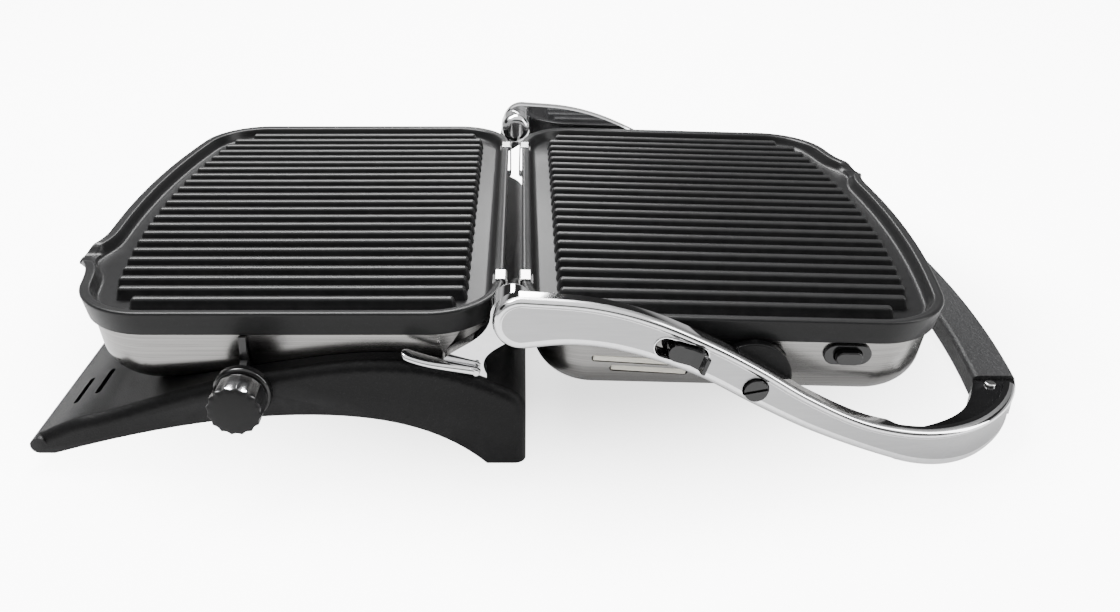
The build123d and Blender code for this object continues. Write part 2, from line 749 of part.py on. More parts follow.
# Cord gland in the far side wall, terminal block and wiring in the rear leg
with BuildPart() as cord_gland:
    with BuildSketch(Plane.XZ.offset(-base_half_width - 0.05)):
        with Locations((gland_x, gland_z)):
            Circle(gland_radius + 2.4)
            Circle(gland_bore, mode=Mode.SUBTRACT)
    extrude(amount=-2.5)
    with BuildSketch(Plane.XZ.offset(-base_half_width - 0.05)):
        with Locations((gland_x, gland_z)):
            Circle(gland_radius)
            Circle(gland_bore, mode=Mode.SUBTRACT)
    extrude(amount=gland_length)
write("cord_gland", cord_gland.part)

with BuildPart() as terminal_block:
    with Locations((block_x, block_y, base_bottom + cover_sheet + 7.1)):
        Box(12, 34, 14)
    with BuildSketch(Plane.XY.offset(base_bottom + cover_sheet + 14.1)):
        with Locations((block_x, block_y)):
            with GridLocations(0, 10, 1, 3):
                Circle(2.6)
    extrude(amount=-5, mode=Mode.SUBTRACT)
write("terminal_block", terminal_block.part)

wire_z = base_bottom + cover_sheet + 7
with BuildPart() as base_wiring:
    for side in (-2.2, 2.2):
        with BuildLine() as supply:
            FilletPolyline(
                (gland_x + side, base_half_width - gland_length - 1.2, gland_z),
                (gland_x + side, block_y + 60, gland_z),
                (block_x + side, block_y + 36, wire_z),
                (block_x + side, block_y + 17.05, wire_z),
                radius=3,
            )
        with BuildSketch(Plane(origin=supply.line @ 0, z_dir=supply.line % 0)):
            Circle(wire_radius)
        sweep(path=supply.line)
    with BuildLine() as feed:
        FilletPolyline(
            (block_x, block_y - 17.05, wire_z),
            (block_x, -120, wire_z),
            (foot_mid_x, -foot_mid_y, 27),
            (foot_mid_x, -foot_mid_y, neck_foot - 0.1),
            radius=9,
        )
    with BuildSketch(Plane(origin=feed.line @ 0, z_dir=feed.line % 0)):
        Circle(wire_radius)
    sweep(path=feed.line)
write("base_wiring", base_wiring.part)

# Thermostat in the pan, its shaft, the knob and the round bezel behind it
thermostat_out, thermostat_in = 124.0, 106.0
with BuildPart() as thermostat:
    with BuildSketch(Plane.XZ.offset(thermostat_in)):
        with Locations((knob_x, 50)):
            RectangleRounded(26, 18, 2)
    extrude(amount=thermostat_out - thermostat_in)
    pan_floor = dish_top - pan_depth + sheet + 0.1
    with Locations((knob_x, -thermostat_in - 5, (pan_floor + 41.5) / 2)):
        Box(20, 10, 41.5 - pan_floor)
    with BuildSketch(Plane.XZ.offset(thermostat_out)):
        with Locations((knob_x, knob_z)):
            Circle(shaft_radius + 1.4)
    extrude(amount=4)
    with BuildSketch(Plane.XZ.offset(thermostat_out - 12)):
        with Locations((knob_x, knob_z)):
            Circle(shaft_radius + running_gap)
    extrude(amount=20, mode=Mode.SUBTRACT)
write("thermostat", thermostat.part)

bezel_face = base_half_width + 0.1
knob_back = bezel_face + bezel_length + side_gap
with BuildPart() as knob_bezel:
    with BuildSketch(Plane.XZ.offset(bezel_face)):
        with Locations((knob_x, knob_z)):
            Circle(bezel_radius)
            Circle(shaft_radius + 0.4, mode=Mode.SUBTRACT)
    extrude(amount=bezel_length)
    fillet(knob_bezel.edges().filter_by(GeomType.CIRCLE).group_by(Axis.Y)[0].sort_by(SortBy.LENGTH)[-1], 2)
write("knob_bezel", knob_bezel.part)

with BuildPart() as knob:
    with BuildSketch(Plane.XZ.offset(knob_back)):
        with Locations((knob_x, knob_z)):
            Circle(knob_radius)
    extrude(amount=knob_length)
    fillet(knob.faces().sort_by(Axis.Y)[0].edges(), 1)
    with BuildSketch(Plane.XZ.offset(knob_back + 1.5)):
        with Locations((knob_x, knob_z)):
            with PolarLocations(knob_radius + 1.4, knob_flutes):
                Circle(2.2)
    extrude(amount=knob_length, mode=Mode.SUBTRACT)
    with BuildSketch(Plane.XZ.offset(knob_back)):
        with Locations((knob_x, knob_z)):
            Circle(shaft_radius + fixed_gap)
    extrude(amount=11, mode=Mode.SUBTRACT)
write("knob", knob.part)

with BuildPart() as thermostat_shaft:
    with BuildSketch(Plane.XZ.offset(thermostat_out - 11)):
        with Locations((knob_x, knob_z)):
            Circle(shaft_radius)
    extrude(amount=knob_back + 10.8 - thermostat_out + 11)
write("thermostat_shaft", thermostat_shaft.part)

# Slim cover from the pan over the shoulder to the knob's bezel
with BuildPart() as sensor_cover:
    with BuildSketch(Plane.YZ.offset(knob_x - cover_width / 2)):
        with BuildLine():
            Polyline(
                (-plate_width / 2 + dish_inset - 0.3, 71),
                (-145.7, 71),
                (-147.5, 59),
                (-151, 57),
                (-base_half_width, 60.5),
                (-base_half_width, 52.9),
                (-plate_width / 2 + dish_inset - 0.3, 52.9),
                close=True,
            )
        make_face()
    extrude(amount=cover_width)
write("sensor_cover", sensor_cover.part)

with BuildPart() as thermal_cutout:
    with BuildSketch(Plane.XY.offset(tray_rim - tray_depth - 0.1)):
        with Locations((-90, 0)):
            Circle(8)
    extrude(amount=-5)
    with BuildSketch(Plane.XY.offset(tray_rim - tray_depth - 0.1)):
        with Locations((-90, 0)):
            Rectangle(26, 9)
    extrude(amount=-1.2)
write("thermal_cutout", thermal_cutout.part)

# Hinge release lever beside the near gooseneck, and its pin
lever_tip_x, lever_tip_z = -52.0, 64.6
lever_slope = (lever_tip_z - lever_pin_z) / (lever_pin_x - lever_tip_x)
with BuildPart() as release_lever:
    with BuildSketch(Plane.XZ.offset(neck_out + side_gap)):
        with BuildLine():
            lever_line = Line((lever_tip_x, lever_tip_z), (lever_pin_x, lever_pin_z))
        SlotArc(lever_line, 4.6)
    extrude(amount=4.6)
    with BuildSketch(Plane.XZ.offset(neck_out - 2)):
        with BuildLine():
            tab_line = Line((lever_tip_x, lever_tip_z), (lever_tip_x + 12, lever_tip_z - 12 * lever_slope))
        SlotArc(tab_line, 4.6)
    extrude(amount=4)
    with BuildSketch(Plane.XZ.offset(neck_out)):
        with Locations((lever_pin_x, lever_pin_z)):
            Circle(lever_pin_radius + running_gap)
    extrude(amount=8, mode=Mode.SUBTRACT)
write("release_lever", release_lever.part)

with BuildPart() as lever_pin:
    with BuildSketch(Plane.XZ.offset(neck_out - 4.8)):
        with Locations((lever_pin_x, lever_pin_z)):
            Circle(lever_pin_radius)
    extrude(amount=10.2)
write("lever_pin", lever_pin.part)

# Grip between the arms, black ends that fill the corners, and their screws
grip_end_x = grip_outer_x - grip_bow
with BuildPart() as grip:
    with BuildSketch(Plane.XY.offset(grip_low)):
        with BuildLine():
            ThreePointArc((grip_end_x, -grip_half), (grip_outer_x, 0), (grip_end_x, grip_half))
            Line((grip_end_x, grip_half), (grip_end_x - grip_width, grip_half))
            ThreePointArc(
                (grip_end_x - grip_width, grip_half),
                (grip_outer_x - grip_width, 0),
                (grip_end_x - grip_width, -grip_half),
            )
            Line((grip_end_x - grip_width, -grip_half), (grip_end_x, -grip_half))
        make_face()
    extrude(amount=grip_high - grip_low)
    fillet(grip.edges().filter_by(GeomType.CIRCLE), 3)
write("grip", grip.part)

end_top = grip_high - 2.5
with BuildPart() as end_plan:
    with BuildSketch():
        with BuildLine():
            end_face = -grip_half - 0.05
            end_radius = corner_radius - band_thickness - 0.05
            end_arc = CenterArc((arm_straight, corner_y), end_radius, -90, corner_sweep + 0.15)
            band_end = PolarLine((arm_straight, corner_y), corner_radius, corner_sweep - 89.85, mode=Mode.PRIVATE)
            Polyline(end_arc @ 1, band_end @ 1, (grip_end_x, end_face), (grip_end_x - grip_width, end_face))
            Spline(
                (grip_end_x - grip_width, end_face),
                (246, -122),
                (236, -135),
                (221, -145),
                (arm_straight, -arm_inner - 0.5),
            )
            Line((arm_straight, -arm_inner - 0.5), end_arc @ 0)
        make_face()
    extrude(amount=end_top)
with BuildPart() as grip_ends:
    add(end_plan.part & arm_side.part)
    with BuildSketch(Plane.XY.offset(end_top)):
        with Locations((end_screw_x, -end_screw_y)):
            Circle(1.5 + fixed_gap)
    extrude(amount=-9, mode=Mode.SUBTRACT)
    mirror(about=Plane.XZ)
write("grip_ends", grip_ends.part)

with BuildPart() as grip_screws:
    with BuildSketch(Plane.XY.offset(end_top + 0.05)):
        with Locations((end_screw_x, -end_screw_y)):
            Circle(3)
    extrude(amount=1.4)
    fillet(grip_screws.faces().sort_by(Axis.Z)[-1].edges(), 0.8)
    with BuildSketch(Plane.XY.offset(end_top + 0.05)):
        with Locations((end_screw_x, -end_screw_y)):
            Circle(1.5)
    extrude(amount=-8.5)
    mirror(about=Plane.XZ)
write("grip_screws", grip_screws.part)

# Ribbed conduit that carries the wires into the lid. It starts on the hinge line, at a collar whose
# spigot runs through the near pin into the arm.
flange_y = arm_inner - side_gap - knuckle_length - seat_gap
with BuildPart() as conduit_collar:
    with BuildSketch(Plane.XZ.offset(flange_y - collar_flange)):
        with Locations((0, hinge_height)):
            Circle(conduit_crest + 1.6)
            Circle(conduit_bore, mode=Mode.SUBTRACT)
    extrude(amount=collar_flange)
    with BuildSketch(Plane.XZ.offset(flange_y)):
        with Locations((0, hinge_height)):
            Circle(pin_bore - running_gap)
            Circle(collar_bore, mode=Mode.SUBTRACT)
    extrude(amount=arm_inner + bush_length + 0.1 - flange_y)
    with BuildSketch(Plane.XZ.offset(flange_y - 1)):
        with Locations((0, hinge_height)):
            Circle(conduit_bore + 0.5)
            Circle(collar_bore, mode=Mode.SUBTRACT)
    extrude(amount=1)
write("conduit_collar", conduit_collar.part)

lid_wall_x = 9.6
with BuildPart() as power_conduit:
    with BuildLine() as conduit_path:
        FilletPolyline(
            (0, collar_flange + 0.05 - flange_y, hinge_height),
            (0, conduit_drop_y, hinge_height),
            (0, conduit_drop_y, conduit_z),
            (0, conduit_end_y, conduit_z),
            (lid_wall_x, conduit_end_y, conduit_z),
            radius=conduit_bend,
        )
    route = conduit_path.wires()[0]
    ribs_along = int(route.length / conduit_pitch)
    radii = (conduit_root, conduit_crest, conduit_crest, conduit_root)
    for step in range(4 * ribs_along + 1):
        spot = step / (4 * ribs_along)
        with BuildSketch(Plane(route.position_at(spot), x_dir=(1, -1, 1), z_dir=route.tangent_at(spot))):
            Circle(radii[step % 4])
    loft(ruled=True)
    with BuildSketch(Plane(route.position_at(0), x_dir=(1, -1, 1), z_dir=route.tangent_at(0))):
        Circle(conduit_bore)
    sweep(path=route, mode=Mode.SUBTRACT)
write("power_conduit", power_conduit.part)
print("conduit", round(route.length, 1), "mm long,", ribs_along, "ribs")

gland_hole = Plane((lid_wall_x + 0.1, conduit_end_y, conduit_z), x_dir=(0, 1, 0), z_dir=(1, 0, 0))
with BuildPart() as conduit_gland:
    with BuildSketch(gland_hole):
        Circle(conduit_crest + 1.2)
        Circle(conduit_bore, mode=Mode.SUBTRACT)
    extrude(amount=conduit_gland_length)

with BuildPart() as lid_shell:
    add(turned(pressed(shell_depth, shell_corner)))
    add(conduit_gland.part, mode=Mode.SUBTRACT)
    with BuildSketch(gland_hole):
        Circle(conduit_crest + 1.2 + fixed_gap)
    extrude(amount=conduit_gland_length, mode=Mode.SUBTRACT)
    for vent_x, vent_z in vents:
        with BuildSketch(Plane.XZ.offset(arm_inner - 45)):
            with Locations((vent_x, vent_z)):
                SlotOverall(vent_length, vent_height, rotation=vent_slope)
        extrude(amount=45, mode=Mode.SUBTRACT)
write("lid_shell", lid_shell.part)
write("conduit_gland", conduit_gland.part)

with BuildPart() as lid_terminals:
    with Locations((lid_block_x, conduit_end_y, shell_floor + 6.05)):
        Box(14, 30, 12)
    with BuildSketch(Plane.XY.offset(shell_floor + 12.05)):
        with Locations((lid_block_x, conduit_end_y)):
            with GridLocations(0, 9, 1, 3):
                Circle(2.4)
    extrude(amount=-5, mode=Mode.SUBTRACT)
write("lid_terminals", opened(lid_terminals.part))

with BuildPart() as lid_wiring:
    for side in (-1.6, 1.6):
        with BuildLine() as lead:
            FilletPolyline(
                (lid_wall_x + conduit_gland_length + 1.6, conduit_end_y + side, conduit_z),
                (lid_block_x - 22, conduit_end_y + side, conduit_z),
                (lid_block_x - 14, conduit_end_y + side, shell_floor + 6),
                (lid_block_x - 7.2, conduit_end_y + side, shell_floor + 6),
                radius=4,
            )
        with BuildSketch(Plane(origin=lead.line @ 0, z_dir=lead.line % 0)):
            Circle(wire_radius)
        sweep(path=lead.line)
write("lid_wiring", opened(lid_wiring.part))
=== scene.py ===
import bpy
import bmesh
import json
from math import asin, cos, exp, pi, radians, sin, sqrt
from mathutils import Matrix, Vector
from mathutils.geometry import interpolate_bezier

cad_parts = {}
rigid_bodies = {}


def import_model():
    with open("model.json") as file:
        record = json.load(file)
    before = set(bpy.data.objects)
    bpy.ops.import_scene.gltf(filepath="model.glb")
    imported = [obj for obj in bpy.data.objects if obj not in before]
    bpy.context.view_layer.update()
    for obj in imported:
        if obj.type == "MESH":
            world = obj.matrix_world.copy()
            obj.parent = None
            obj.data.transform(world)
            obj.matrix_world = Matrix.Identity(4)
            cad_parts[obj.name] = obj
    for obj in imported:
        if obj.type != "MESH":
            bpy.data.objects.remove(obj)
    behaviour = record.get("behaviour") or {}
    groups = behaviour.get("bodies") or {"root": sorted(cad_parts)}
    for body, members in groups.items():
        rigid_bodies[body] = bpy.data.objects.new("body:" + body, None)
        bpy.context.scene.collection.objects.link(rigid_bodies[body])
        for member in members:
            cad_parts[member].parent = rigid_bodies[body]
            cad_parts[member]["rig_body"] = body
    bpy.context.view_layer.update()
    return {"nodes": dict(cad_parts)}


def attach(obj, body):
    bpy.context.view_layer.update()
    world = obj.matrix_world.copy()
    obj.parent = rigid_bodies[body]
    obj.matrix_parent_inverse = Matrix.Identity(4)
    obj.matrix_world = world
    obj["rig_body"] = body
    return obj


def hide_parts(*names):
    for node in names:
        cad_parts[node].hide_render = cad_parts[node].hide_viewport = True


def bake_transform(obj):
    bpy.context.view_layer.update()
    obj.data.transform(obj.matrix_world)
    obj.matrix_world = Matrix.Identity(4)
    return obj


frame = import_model()
nodes = frame["nodes"]
print("frame loaded:", len(nodes), "nodes")


# Camera, set to the photograph

shot = {
    "eye": (0.0047, -0.5742, 0.3158),
    "tilt": 27.0,  # degrees below level
    "focal": 997.0,  # pixels, in a frame 1120 wide
    "centre": (522.0, 290.0),
    "frame": (1120, 612),
}
cameraData = bpy.data.cameras.new("photoCamera")
camera = bpy.data.objects.new("photoCamera", cameraData)
bpy.context.scene.collection.objects.link(camera)
bpy.context.scene.camera = camera
camera.location = shot["eye"]
camera.rotation_euler = (radians(90 - shot["tilt"]), 0, 0)
cameraData.sensor_width = 36.0
cameraData.lens = shot["focal"] * 36.0 / shot["frame"][0]
cameraData.shift_x = (shot["frame"][0] / 2 - shot["centre"][0]) / shot["frame"][0]
cameraData.shift_y = (shot["centre"][1] - shot["frame"][1] / 2) / shot["frame"][0]
cameraData.clip_start = 0.01
cameraData.clip_end = 60


# Light and floor

studio = {
    "sky": 1.5,
    # brightness of the surroundings by the sine of the elevation
    "skyStops": [(0.0, 0.28), (0.22, 0.42), (0.33, 0.02), (0.58, 0.02), (0.70, 0.8), (1.0, 1.0)],
    # place, target, size and power of each softbox
    "lights": {
        "keyLight": ((-0.35, 0.45, 1.25), (0, 0, 0.06), (1.3, 0.5), 85),
        "fillLight": ((-0.9, -1.1, 1.0), (0, 0, 0.06), (1.2, 0.8), 1.4),
        "rightLight": ((1.3, -0.35, 0.75), (0.1, 0, 0.05), (0.5, 1.2), 15),
        "stripLight": ((0.02, 1.5, 0.95), (0.02, 0, 0.08), (0.30, 0.55), 9),
    },
    "floorHalf": 9.0,
    "floorTone": 0.36,
    "floorGlow": 9.0,
    # dimmer glow beneath and around the object: a painted shadow on the floor
    "floorGlowInPaintedShadow": 1.9,
    "floorBounce": 0.10,  # share of the glow that lights the object
    "floorCentre": (0.03, 0.02, 0.0),
    "floorSpread": (2.6, 3.6, 0.0),
    "floorPaintedShadow": (0.35, 1.0),
}


def softLight(name, place, target, size, power):
    data = bpy.data.lights.new(name, "AREA")
    data.shape = "RECTANGLE"
    data.size, data.size_y = size
    data.energy = power
    light = bpy.data.objects.new(name, data)
    bpy.context.scene.collection.objects.link(light)
    light.location = place
    light.rotation_euler = (Vector(target) - Vector(place)).to_track_quat("-Z", "Y").to_euler()


for lightName, lightSet in studio["lights"].items():
    softLight(lightName, *lightSet)

world = bpy.data.worlds.new("studioWorld")
bpy.context.scene.world = world
world.use_nodes = True
worldTree = world.node_tree
background = worldTree.nodes["Background"]
skyCoord = worldTree.nodes.new("ShaderNodeTexCoord")
skySplit = worldTree.nodes.new("ShaderNodeSeparateXYZ")
skyRamp = worldTree.nodes.new("ShaderNodeValToRGB")
worldTree.links.new(skyCoord.outputs["Generated"], skySplit.inputs[0])
worldTree.links.new(skySplit.outputs["Z"], skyRamp.inputs["Fac"])
for place, tone in studio["skyStops"][1:-1]:
    skyRamp.color_ramp.elements.new(place)
for stop, (place, tone) in zip(skyRamp.color_ramp.elements, studio["skyStops"]):
    stop.position = place
    stop.color = (tone, tone, tone, 1)
worldTree.links.new(skyRamp.outputs["Color"], background.inputs["Color"])
background.inputs["Strength"].default_value = studio["sky"]
print("camera and lights set:", len(studio["lights"]), "lights")


# Shader node groups, each built once

def makeGroup(name, inputs, outputs):
    group = bpy.data.node_groups.new(name, "ShaderNodeTree")
    for socketName, kind, value in inputs:
        socket = group.interface.new_socket(name=socketName, in_out="INPUT", socket_type=kind)
        socket.default_value = value
    for socketName, kind in outputs:
        group.interface.new_socket(name=socketName, in_out="OUTPUT", socket_type=kind)
    return group, group.nodes.new("NodeGroupInput"), group.nodes.new("NodeGroupOutput")


def addNode(tree, kind, settings=(), values=()):
    node = tree.nodes.new(kind)
    for key, value in dict(settings).items():
        setattr(node, key, value)
    for key, value in dict(values).items():
        node.inputs[key].default_value = value
    return node


def addRamp(tree, stops):
    node = tree.nodes.new("ShaderNodeValToRGB")
    ramp = node.color_ramp
    while len(ramp.elements) < len(stops):
        ramp.elements.new(0.5)
    for element, (position, tone) in zip(ramp.elements, stops):
        element.position = position
        element.color = (tone, tone, tone, 1)
    return node


def speckleGroup():
    # fine moulded or sprayed texture: height, and a mask of paler grains
    group, entry, leave = makeGroup(
        "speckle",
        [("Scale", "NodeSocketFloat", 1200.0), ("Patch", "NodeSocketFloat", 14.0)],
        [("Height", "NodeSocketFloat"), ("Grains", "NodeSocketFloat"), ("Patches", "NodeSocketFloat")],
    )
    coord = addNode(group, "ShaderNodeTexCoord")
    fine = addNode(group, "ShaderNodeTexNoise", values={"Detail": 3.0, "Roughness": 0.6})
    grains = addRamp(group, [(0.58, 0.0), (0.75, 1.0)])
    patch = addNode(group, "ShaderNodeTexNoise", values={"Detail": 4.0, "Roughness": 0.55})
    patches = addRamp(group, [(0.35, 0.0), (0.7, 1.0)])
    link = group.links.new
    link(coord.outputs["Object"], fine.inputs["Vector"])
    link(coord.outputs["Object"], patch.inputs["Vector"])
    link(entry.outputs["Scale"], fine.inputs["Scale"])
    link(entry.outputs["Patch"], patch.inputs["Scale"])
    link(fine.outputs["Fac"], grains.inputs["Fac"])
    link(patch.outputs["Fac"], patches.inputs["Fac"])
    link(fine.outputs["Fac"], leave.inputs["Height"])
    link(grains.outputs["Color"], leave.inputs["Grains"])
    link(patches.outputs["Color"], leave.inputs["Patches"])
    return group


def grainGroup():
    # lines of a brushed finish: the noise is stretched along one axis
    group, entry, leave = makeGroup(
        "brushLines",
        [("Stretch", "NodeSocketVector", (20.0, 900.0, 900.0))],
        [("Height", "NodeSocketFloat"), ("Tone", "NodeSocketFloat"), ("Smudge", "NodeSocketFloat")],
    )
    coord = addNode(group, "ShaderNodeTexCoord")
    scale = addNode(group, "ShaderNodeVectorMath", {"operation": "MULTIPLY"})
    lines = addNode(group, "ShaderNodeTexNoise", values={"Scale": 1.0, "Detail": 4.0, "Roughness": 0.6})
    tone = addRamp(group, [(0.3, 0.0), (0.7, 1.0)])
    cloud = addNode(group, "ShaderNodeTexNoise", values={"Scale": 9.0, "Detail": 3.0})
    smudge = addRamp(group, [(0.4, 0.0), (0.7, 1.0)])
    link = group.links.new
    link(coord.outputs["Object"], scale.inputs[0])
    link(entry.outputs["Stretch"], scale.inputs[1])
    link(scale.outputs["Vector"], lines.inputs["Vector"])
    link(coord.outputs["Object"], cloud.inputs["Vector"])
    link(lines.outputs["Fac"], tone.inputs["Fac"])
    link(cloud.outputs["Fac"], smudge.inputs["Fac"])
    link(lines.outputs["Fac"], leave.inputs["Height"])
    link(tone.outputs["Color"], leave.inputs["Tone"])
    link(smudge.outputs["Color"], leave.inputs["Smudge"])
    return group


def edgeHighlightGroup():
    # a mask that is brighter along outer edges, broken up by noise, for a painted highlight along them
    group, entry, leave = makeGroup(
        "edgeHighlight",
        [
            ("Low", "NodeSocketFloat", 0.52),
            ("High", "NodeSocketFloat", 0.6),
            ("Break", "NodeSocketFloat", 160.0),
        ],
        [("Mask", "NodeSocketFloat")],
    )
    geometry = addNode(group, "ShaderNodeNewGeometry")
    coord = addNode(group, "ShaderNodeTexCoord")
    noise = addNode(group, "ShaderNodeTexNoise", values={"Detail": 4.0})
    window = addNode(group, "ShaderNodeMapRange")
    product = addNode(group, "ShaderNodeMath", {"operation": "MULTIPLY", "use_clamp": True})
    link = group.links.new
    link(coord.outputs["Object"], noise.inputs["Vector"])
    link(entry.outputs["Break"], noise.inputs["Scale"])
    link(geometry.outputs["Pointiness"], window.inputs["Value"])
    link(entry.outputs["Low"], window.inputs["From Min"])
    link(entry.outputs["High"], window.inputs["From Max"])
    link(window.outputs["Result"], product.inputs[0])
    link(noise.outputs["Fac"], product.inputs[1])
    link(product.outputs["Value"], leave.inputs["Mask"])
    return group


speckle = speckleGroup()
brushLines = grainGroup()
edgeHighlight = edgeHighlightGroup()
print("shader groups built")


# Materials

def placeGroup(tree, group, values=()):
    node = tree.nodes.new("ShaderNodeGroup")
    node.node_tree = group
    for key, value in dict(values).items():
        node.inputs[key].default_value = value
    return node


def startMaterial(name, values):
    material = bpy.data.materials.new(name)
    material.use_nodes = True
    tree = material.node_tree
    shader = tree.nodes["Principled BSDF"]
    for key, value in values.items():
        shader.inputs[key].default_value = value
    return material, tree, shader


def mixTone(tree, mask, low, high, target):
    # a colour between two by a mask, into a socket
    mix = addNode(tree, "ShaderNodeMix", {"data_type": "RGBA"})
    mix.inputs["A"].default_value = (*low, 1)
    mix.inputs["B"].default_value = (*high, 1)
    tree.links.new(mask, mix.inputs["Factor"])
    tree.links.new(mix.outputs["Result"], target)


def mixValue(tree, mask, low, high, target):
    window = addNode(tree, "ShaderNodeMapRange", values={"To Min": low, "To Max": high})
    tree.links.new(mask, window.inputs["Value"])
    tree.links.new(window.outputs["Result"], target)


def addBump(tree, height, strength, distance, target):
    bump = addNode(tree, "ShaderNodeBump", values={"Strength": strength, "Distance": distance})
    tree.links.new(height, bump.inputs["Height"])
    tree.links.new(bump.outputs["Normal"], target)


def speckledMaterial(name, finish):
    # moulded, cast or sprayed: grains and a painted highlight along edges over a plain tone
    material, tree, shader = startMaterial(name, {
        "Specular IOR Level": finish.get("specular", 0.5),
        "Coat Weight": finish.get("coat", 0.0),
        "Coat Roughness": finish.get("coatRough", 0.2),
    })
    grains = placeGroup(tree, speckle, {"Scale": finish["scale"], "Patch": finish.get("patch", 14.0)})
    edgeLitMask = placeGroup(tree, edgeHighlight, {"Low": 0.52, "High": 0.62})
    base = addNode(tree, "ShaderNodeMix", {"data_type": "RGBA"})
    base.inputs["A"].default_value = (*finish["tone"], 1)
    base.inputs["B"].default_value = (*finish["grainTone"], 1)
    tree.links.new(grains.outputs["Grains"], base.inputs["Factor"])
    # painted highlight: a paler tone along outer edges
    edgeLit = addNode(tree, "ShaderNodeMix", {"data_type": "RGBA"})
    edgeLit.inputs["B"].default_value = (*finish["edgeLitTone"], 1)
    tree.links.new(base.outputs["Result"], edgeLit.inputs["A"])
    tree.links.new(edgeLitMask.outputs["Mask"], edgeLit.inputs["Factor"])
    tree.links.new(edgeLit.outputs["Result"], shader.inputs["Base Color"])
    mixValue(tree, grains.outputs["Patches"], *finish["rough"], shader.inputs["Roughness"])
    addBump(tree, grains.outputs["Height"], finish["bump"], finish["depth"], shader.inputs["Normal"])
    return material


def brushedMaterial(name, finish):
    # bare metal with fine lines and smudges
    material, tree, shader = startMaterial(name, {"Metallic": 1.0})
    lines = placeGroup(tree, brushLines, {"Stretch": finish["stretch"]})
    mixTone(tree, lines.outputs["Tone"], finish["low"], finish["high"], shader.inputs["Base Color"])
    mixValue(tree, lines.outputs["Smudge"], *finish["rough"], shader.inputs["Roughness"])
    addBump(tree, lines.outputs["Height"], finish["bump"], finish["depth"], shader.inputs["Normal"])
    return material


# the paler edge tone of each finish is a painted highlight along its edges
coatFinish = {
    "tone": (0.006, 0.006, 0.0062), "grainTone": (0.015, 0.015, 0.0155), "edgeLitTone": (0.055, 0.055, 0.056),
    "rough": (0.33, 0.38), "scale": 1700.0, "patch": 5.0, "bump": 0.22, "depth": 0.00018,
    "specular": 0.18, "coat": 0.04, "coatRough": 0.10,
}
plasticFinish = {
    "tone": (0.004, 0.004, 0.0042), "grainTone": (0.012, 0.012, 0.0125), "edgeLitTone": (0.030, 0.030, 0.031),
    "rough": (0.34, 0.42), "scale": 1300.0, "bump": 0.6, "depth": 0.0003, "specular": 0.16,
}
glossFinish = {
    "tone": (0.004, 0.004, 0.0042), "grainTone": (0.006, 0.006, 0.0063), "edgeLitTone": (0.02, 0.02, 0.021),
    "rough": (0.12, 0.22), "scale": 900.0, "bump": 0.06, "depth": 0.0001, "specular": 0.55,
}
gripFinish = {
    "tone": (0.010, 0.010, 0.0105), "grainTone": (0.030, 0.030, 0.031), "edgeLitTone": (0.04, 0.04, 0.042),
    "rough": (0.45, 0.58), "scale": 620.0, "bump": 1.0, "depth": 0.0006, "specular": 0.30,
}
rubberFinish = {
    "tone": (0.016, 0.016, 0.016), "grainTone": (0.03, 0.03, 0.03), "edgeLitTone": (0.05, 0.05, 0.05),
    "rough": (0.6, 0.75), "scale": 800.0, "bump": 0.3, "depth": 0.0002, "specular": 0.35,
}
ceramicFinish = {
    "tone": (0.72, 0.70, 0.64), "grainTone": (0.8, 0.78, 0.72), "edgeLitTone": (0.85, 0.83, 0.78),
    "rough": (0.35, 0.5), "scale": 700.0, "bump": 0.1, "depth": 0.0001,
}
sleeveFinish = {
    "tone": (0.42, 0.38, 0.30), "grainTone": (0.6, 0.56, 0.47), "edgeLitTone": (0.62, 0.58, 0.5),
    "rough": (0.7, 0.85), "scale": 1500.0, "bump": 0.9, "depth": 0.0003,
}
bushFinish = {
    "tone": (0.22, 0.22, 0.22), "grainTone": (0.28, 0.28, 0.28), "edgeLitTone": (0.34, 0.34, 0.34),
    "rough": (0.4, 0.5), "scale": 900.0, "bump": 0.1, "depth": 0.0001,
}
shellFinish = {
    "low": (0.22, 0.216, 0.210), "high": (0.32, 0.314, 0.305), "rough": (0.20, 0.28),
    "stretch": (16.0, 16.0, 1500.0), "bump": 0.12, "depth": 0.0001,
}
satinFinish = {
    "low": (0.40, 0.40, 0.405), "high": (0.44, 0.44, 0.445), "rough": (0.30, 0.36),
    "stretch": (60.0, 900.0, 900.0), "bump": 0.02, "depth": 0.00006,
}
chromeFinish = {
    "low": (0.80, 0.80, 0.81), "high": (0.86, 0.86, 0.87), "rough": (0.04, 0.09),
    "stretch": (300.0, 300.0, 300.0), "bump": 0.01, "depth": 0.00005,
}
skirtFinish = {
    "low": (0.42, 0.42, 0.43), "high": (0.60, 0.60, 0.61), "rough": (0.10, 0.2),
    "stretch": (300.0, 300.0, 300.0), "bump": 0.02, "depth": 0.00005,
}
faceFinish = {
    "tone": (0.006, 0.006, 0.0062), "grainTone": (0.012, 0.012, 0.0125), "edgeLitTone": (0.03, 0.03, 0.031),
    "rough": (0.36, 0.46), "scale": 1500.0, "bump": 0.2, "depth": 0.0001, "specular": 0.2,
}
creamFinish = {
    "tone": (0.72, 0.69, 0.60), "grainTone": (0.78, 0.75, 0.66), "edgeLitTone": (0.84, 0.82, 0.74),
    "rough": (0.4, 0.55), "scale": 900.0, "bump": 0.1, "depth": 0.0001,
}
zincFinish = {
    "low": (0.66, 0.66, 0.66), "high": (0.78, 0.78, 0.77), "rough": (0.16, 0.26),
    "stretch": (700.0, 700.0, 700.0), "bump": 0.06, "depth": 0.0001,
}
reflectorFinish = {
    "low": (0.62, 0.62, 0.62), "high": (0.75, 0.75, 0.74), "rough": (0.18, 0.3),
    "stretch": (30.0, 900.0, 900.0), "bump": 0.06, "depth": 0.0001,
}
sheathFinish = {
    "low": (0.14, 0.12, 0.11), "high": (0.26, 0.22, 0.19), "rough": (0.35, 0.5),
    "stretch": (90.0, 90.0, 90.0), "bump": 0.1, "depth": 0.0001,
}
